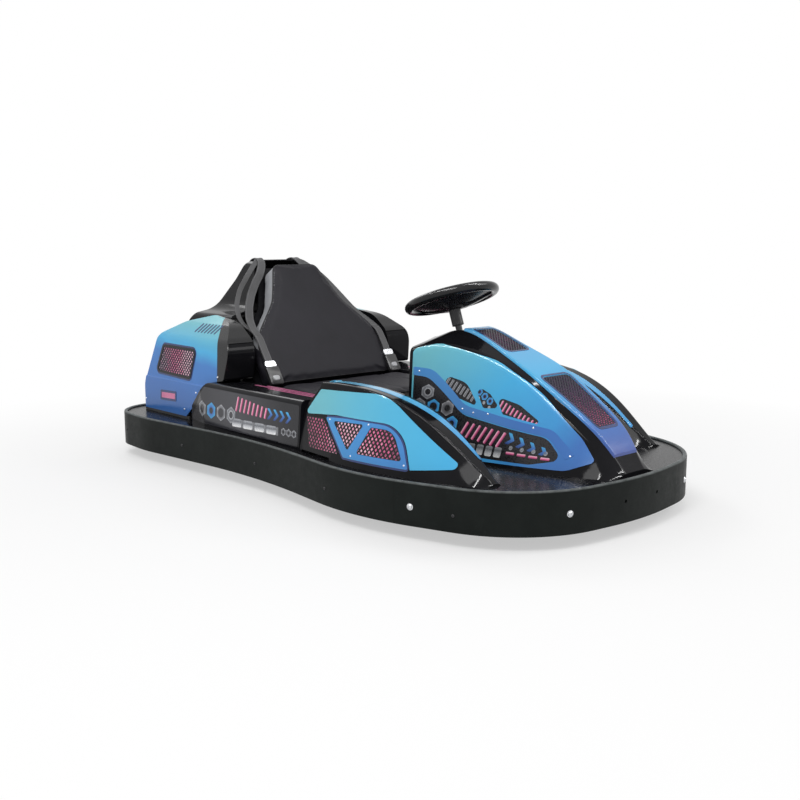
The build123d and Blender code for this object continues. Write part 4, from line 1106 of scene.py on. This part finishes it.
def make_base():
    base = pad("seat_base", rounded(BASE_PAD, 12.0), *BASE_LEVELS, base_spot)
    mesh = base.data
    for vertex in mesh.vertices:
        vertex.co.z = max(BASE_UNDERSIDE * MM, vertex.co.z)
        vertex.co.y = clamp(vertex.co.y, -BASE_SIDE * MM, BASE_SIDE * MM)
        vertex.co.x = max(-BASE_SIDE * MM, vertex.co.x)
    channel(mesh, [(base_spot(y, -250, 286), base_spot(y, 60, 286)) for y in (-150, 0, 150)], 5.0, 6.0, UP)
    mesh.materials.append(MATERIALS["vinyl"])
    mesh.materials.append(MATERIALS["seat_front"])
    for face in mesh.polygons:
        if face.center.x > 66 * MM and face.normal.x > 0.4:
            face.material_index = 1
    mesh = refined(base)
    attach(base, "chassis")
    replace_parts(base, "seat_base_pad")
    line = [base_spot(spot.x, spot.y, PIPING_LEVEL) for spot in rounded(BASE_PAD, 10.0)]
    make_piping("seat_base_piping", line, 2.4, mesh)


# Belts, by points of the seat back as seat_spot takes them


BELT_RUN = [(-80, 520, 163), (-80, 538, 143), (-80, 544, 124), (-81, 541, 106), (-82, 532, 88), (-85, 512, 77),
            (-96, 488, 72), (-120, 454, 68), (-152, 420, 68), (-188, 374, 67), (-218, 325, 62), (-244, 272, 48),
            (-262, 224, 24), (-267, 176, -2), (-268, 130, -5), (-267, 100, -6), (-266, 74, -5)]
BELT_LOOP = [(-88, 530, 91), (-104, 514, 82), (-132, 490, 80), (-170, 452, 80), (-212, 406, 88), (-246, 350, 88),
             (-264, 296, 76), (-268, 256, 58), (-267, 222, 30), (-267, 190, 5)]
BELT_ANCHOR = (-80, 524, 158)
BELT_END = Vector(BELT_RUN[-1][:2])
# (name, rise over the belt's end, half width, half height, thickness, inset of its face, material)
BELT_FITTINGS = [("belt_buckle", -42, 25, 33, 15.0, 2.2, "buckle"), ("belt_tongue", 2, 22, 11, 9.0, 0, "steel"),
                 ("belt_button", -52, 13, 9, 18.0, 2.2, "button")]


def eased(spots):
    """Seat points as a smooth path."""
    run = [seat_spot(*spot) for spot in spots]
    path = [here.lerp(ahead, k / 6) for here, ahead in zip(run, run[1:]) for k in range(6)] + run[-1:]
    for _ in range(4):
        inner = [(path[i - 1] + path[i] * 2 + path[i + 1]) / 4 for i in range(1, len(path) - 1)]
        path = path[:1] + inner + path[-1:]
    return path


def strip_line(path, shift, lift):
    """A line on a strap's front face, shift mm to the kart's left of its middle."""
    made = []
    for i, here in enumerate(path):
        run = (path[min(i + 1, len(path) - 1)] - path[max(i - 1, 0)]).normalized()
        wide = (LEFT - run * run.y).normalized()
        made.append(here + wide * shift + run.cross(wide) * lift)
    return made


def resample(ring, count):
    """The ring as a set number of points, evenly spaced along it."""
    lengths = [0.0]
    for here, ahead in zip(ring, ring[1:] + ring[:1]):
        lengths.append(lengths[-1] + (ahead - here).length)
    made, i = [], 0
    for k in range(count):
        reach = lengths[-1] * k / count
        while lengths[i + 1] < reach:
            i += 1
        share = (reach - lengths[i]) / max(1e-9, lengths[i + 1] - lengths[i])
        made.append(ring[i].lerp(ring[(i + 1) % len(ring)], share))
    return made


def make_belts():
    path = eased(BELT_RUN)
    strap, loop, stitch = Build(), Build(), Build()
    strap.tube(path, 15.0, 1.5, 12, LEFT)
    straps = strap.finish("belt_strap", "webbing", angle=50)
    loop.tube(eased(BELT_LOOP), 9.0, 1.5, 12, LEFT)
    loop.finish("belt_loop", "webbing", angle=50)
    for shift in (-11.5, 11.5):
        stitch.tube(strip_line(path, shift, 1.6), 0.7, 0.7, 6)
    stitch.finish("belt_stitch", "thread")
    count = 36
    for name, rise, half_w, half_h, thick, inset, material in BELT_FITTINGS:
        corners = [(BELT_END.x + x, BELT_END.y + rise + z, 7) for x, z in four(half_w, half_h)]
        ring = resample(rounded(corners, 5.0), count)
        inner = resample(rounded(shrunk(corners, inset), 5.0), count) if inset else ring
        build = Build()
        for outline, height in ((ring, 0.0), (ring, thick - 2.5), (inner, thick - 0.6)):
            build.points += [seat_spot(spot.x, spot.y, -1.0 - height) for spot in outline]
        build.wall(0, count, count)
        build.wall(count, 2 * count, count)
        build.cap(2 * count, count)
        build.cap(0, count, True)
        build.finish(name, material, mend=True, angle=40)
    anchor = seat_spot(*BELT_ANCHOR)
    domes("belt_anchor", [Skin("top", "back_fairing").at(anchor.x, anchor.y)], 6.0, 3.0, "steel", 11.0)
    for piece in straps:
        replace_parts(piece, "belt_webbing")
    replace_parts(bpy.data.objects["belt_buckle_right"], "belt_buckles")


# Steering wheel


COLUMN = Vector((-math.sin(COLUMN_LEAN), 0, math.cos(COLUMN_LEAN)))
GRIP_RADIUS = 133.0
# (reach along the column, radius)
DISH_PROFILE = [(-29, 22), (-27, 40), (-22, 62), (-15, 86), (-8, 108), (-4.5, 122), (-3, 131), (1, 131), (-1, 120),
                (-5, 106), (-12, 84), (-19, 60), (-23, 40), (-24, 22)]
BOSS_PROFILE = [(-36, 0.01), (-36, 24), (-34, 30), (-20, 34), (-16, 34), (-14, 31), (-13, 24), (-8, 22), (-5, 18),
                (-4, 10), (-4, 0.01)]
# (distance out, dip under the grip's plane)
SPOKE_LINES = [[(26, 31), (42, 29.5), (64, 24.5), (86, 18), (106, 12), (122, 7.5)],
               [(24, 21), (40, 21), (62, 17), (84, 10.5), (104, 4), (120, 0.5)]]


def make_steering_wheel():
    ahead = LEFT.cross(COLUMN).normalized()

    def out(angle):
        return LEFT * math.cos(angle) + ahead * math.sin(angle)

    grip, dish, spokes, boss = Build(), Build(), Build(), Build()
    rim = [WHEEL_CENTRE + out(math.tau * k / 96) * GRIP_RADIUS for k in range(96)]
    grip.tube(rim, 14.8, 14.8, 20, closed=True)
    made = grip.finish("wheel_grip", "grip", False, "steering", True)
    dish.lathe(WHEEL_CENTRE, COLUMN, DISH_PROFILE, 72, "open")
    dish.finish("wheel_dish", "spoke", False, "steering", True, 40)
    for degrees in (30, 150, 270):
        way = out(math.radians(degrees))
        for line in SPOKE_LINES:
            path = [WHEEL_CENTRE + way * reach - COLUMN * dip for reach, dip in line]
            spokes.tube(path, 17.0, 3.4, 16, way.cross(COLUMN))
    spokes.finish("wheel_spokes", "spoke", False, "steering", True, 50)
    boss.lathe(WHEEL_CENTRE, COLUMN, BOSS_PROFILE, 48)
    boss.finish("wheel_boss", "spoke", False, "steering", True, 35)
    bolts = [(WHEEL_CENTRE - COLUMN * 14 + out(math.tau * (k + 0.5) / 6) * 28.5, COLUMN) for k in range(6)]
    domes("wheel_bolts", bolts, 3.0, 2.2, "rivet", both=False, body="steering")
    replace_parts(made[0], "steering_wheel")


# Tyres


# (name, node, body, centres, radius, bore, half width)
TYRES = [("tyre_front_left", "front_tyre_left", "front_wheel_left", [FRONT_AXLE], 109.6, 64.4, 39.6),
         ("tyre_front_right", "front_tyre_right", "front_wheel_right", [across(FRONT_AXLE)], 109.6, 64.4, 39.6),
         ("tyre_rear_pair", "rear_tyres", "rear_axle", [REAR_AXLE, across(REAR_AXLE)], 119.6, 68.4, 49.6)]
# Sidewall as (distance in from the side, distance over the bore)
SIDEWALL = [(8, 0.2), (2, 3), (1.2, 7), (2.6, 8), (1, 10), (0.4, 18), (1.6, 19), (0.4, 20)]
# Shoulder with its groove as (distance in from the side, depth), and half of the middle as (distance out, depth)
SHOULDER = [(0.6, 18), (2.4, 10), (6, 4.6), (11, 1.6), (14, 0.9), (14.8, 3.6), (17.2, 3.6), (18, 0.6)]
MIDDLE = [(9, 0.1), (8.2, 3.2), (5.8, 3.2), (5, 0)]


def make_tyres():
    for name, node, body, centres, radius, bore, half in TYRES:
        side = [(half - a, bore + b) for a, b in SIDEWALL]
        side += [(half - a, radius - b) for a, b in SHOULDER] + [(a, radius - b) for a, b in MIDDLE]
        build = Build()
        for centre in centres:
            build.lathe(centre, LEFT, side + [(-a, b) for a, b in side[::-1]], 72, "joined")
        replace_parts(build.finish(name, "tyre", False, body, True, 38)[0], node)


# Stage


WORLD_LEVEL = 0.58
# Lamps narrower than this only show as highlights
STRIP = 0.1
# (name, place, aim, width, height, watts)
LAMPS = [
    ("key", (1.6, -2.4, 3.4), (0, 0, 0.2), 1.8, 1.2, 62.0),
    ("fill", (2.6, 2.4, 2.6), (0, 0, 0.2), 1.6, 1.0, 26.0),
    ("back", (-3.0, 0.6, 2.8), (0, 0, 0.3), 1.8, 1.0, 26.0),
    ("ridge", (0.1, -1.5, 2.9), (0, -0.3, 0.2), 3.4, 0.09, 110.0),
    ("line", (1.6, 0.9, 2.9), (0.2, 0, 0.2), 0.09, 2.8, 80.0),
]


def make_stage():
    mesh = bpy.data.meshes.new("floor")
    mesh.from_pydata([(x, y, 0) for x, y in four(9.0, 9.0)], [], [(0, 1, 2, 3)])
    mesh.materials.append(MATERIALS["stage_white"])
    place_object("floor", mesh)
    world = bpy.data.worlds.new("studio")
    world.use_nodes = True
    bpy.context.scene.world = world
    nodes = Nodes(world.node_tree)
    back = world.node_tree.nodes["Background"]
    nodes.join((1, 1, 1), back.inputs["Color"])
    nodes.join(nodes.remap(nodes.seen(), 0.0, 1.0, WORLD_LEVEL, 1.0), back.inputs["Strength"])
    for name, place, aim, wide, high, watts in LAMPS:
        data = bpy.data.lights.new(name, "AREA")
        data.shape = "RECTANGLE"
        data.size = wide
        data.size_y = high
        data.energy = watts
        lamp = place_object(name, data)
        lamp.location = place
        lamp.rotation_euler = (Vector(aim) - Vector(place)).to_track_quat("-Z", "Y").to_euler()
        lamp.visible_diffuse = min(wide, high) > STRIP


def make_camera():
    data = bpy.data.cameras.new("camera")
    data.lens = 45
    data.sensor_width = 36
    camera = place_object("camera", data)
    camera.location = (2.405, -2.212, 0.770)
    camera.rotation_euler = (math.radians(80.8), 0, math.radians(47.0))
    bpy.context.scene.camera = camera
    bpy.context.scene.view_settings.view_transform = "Standard"


make_materials()
dress_nodes()
make_pods()
make_hood()
make_cowls()
make_seals()
make_sills()
make_bolts()
make_back()
make_base()
make_belts()
make_steering_wheel()
make_tyres()
make_stage()
make_camera()
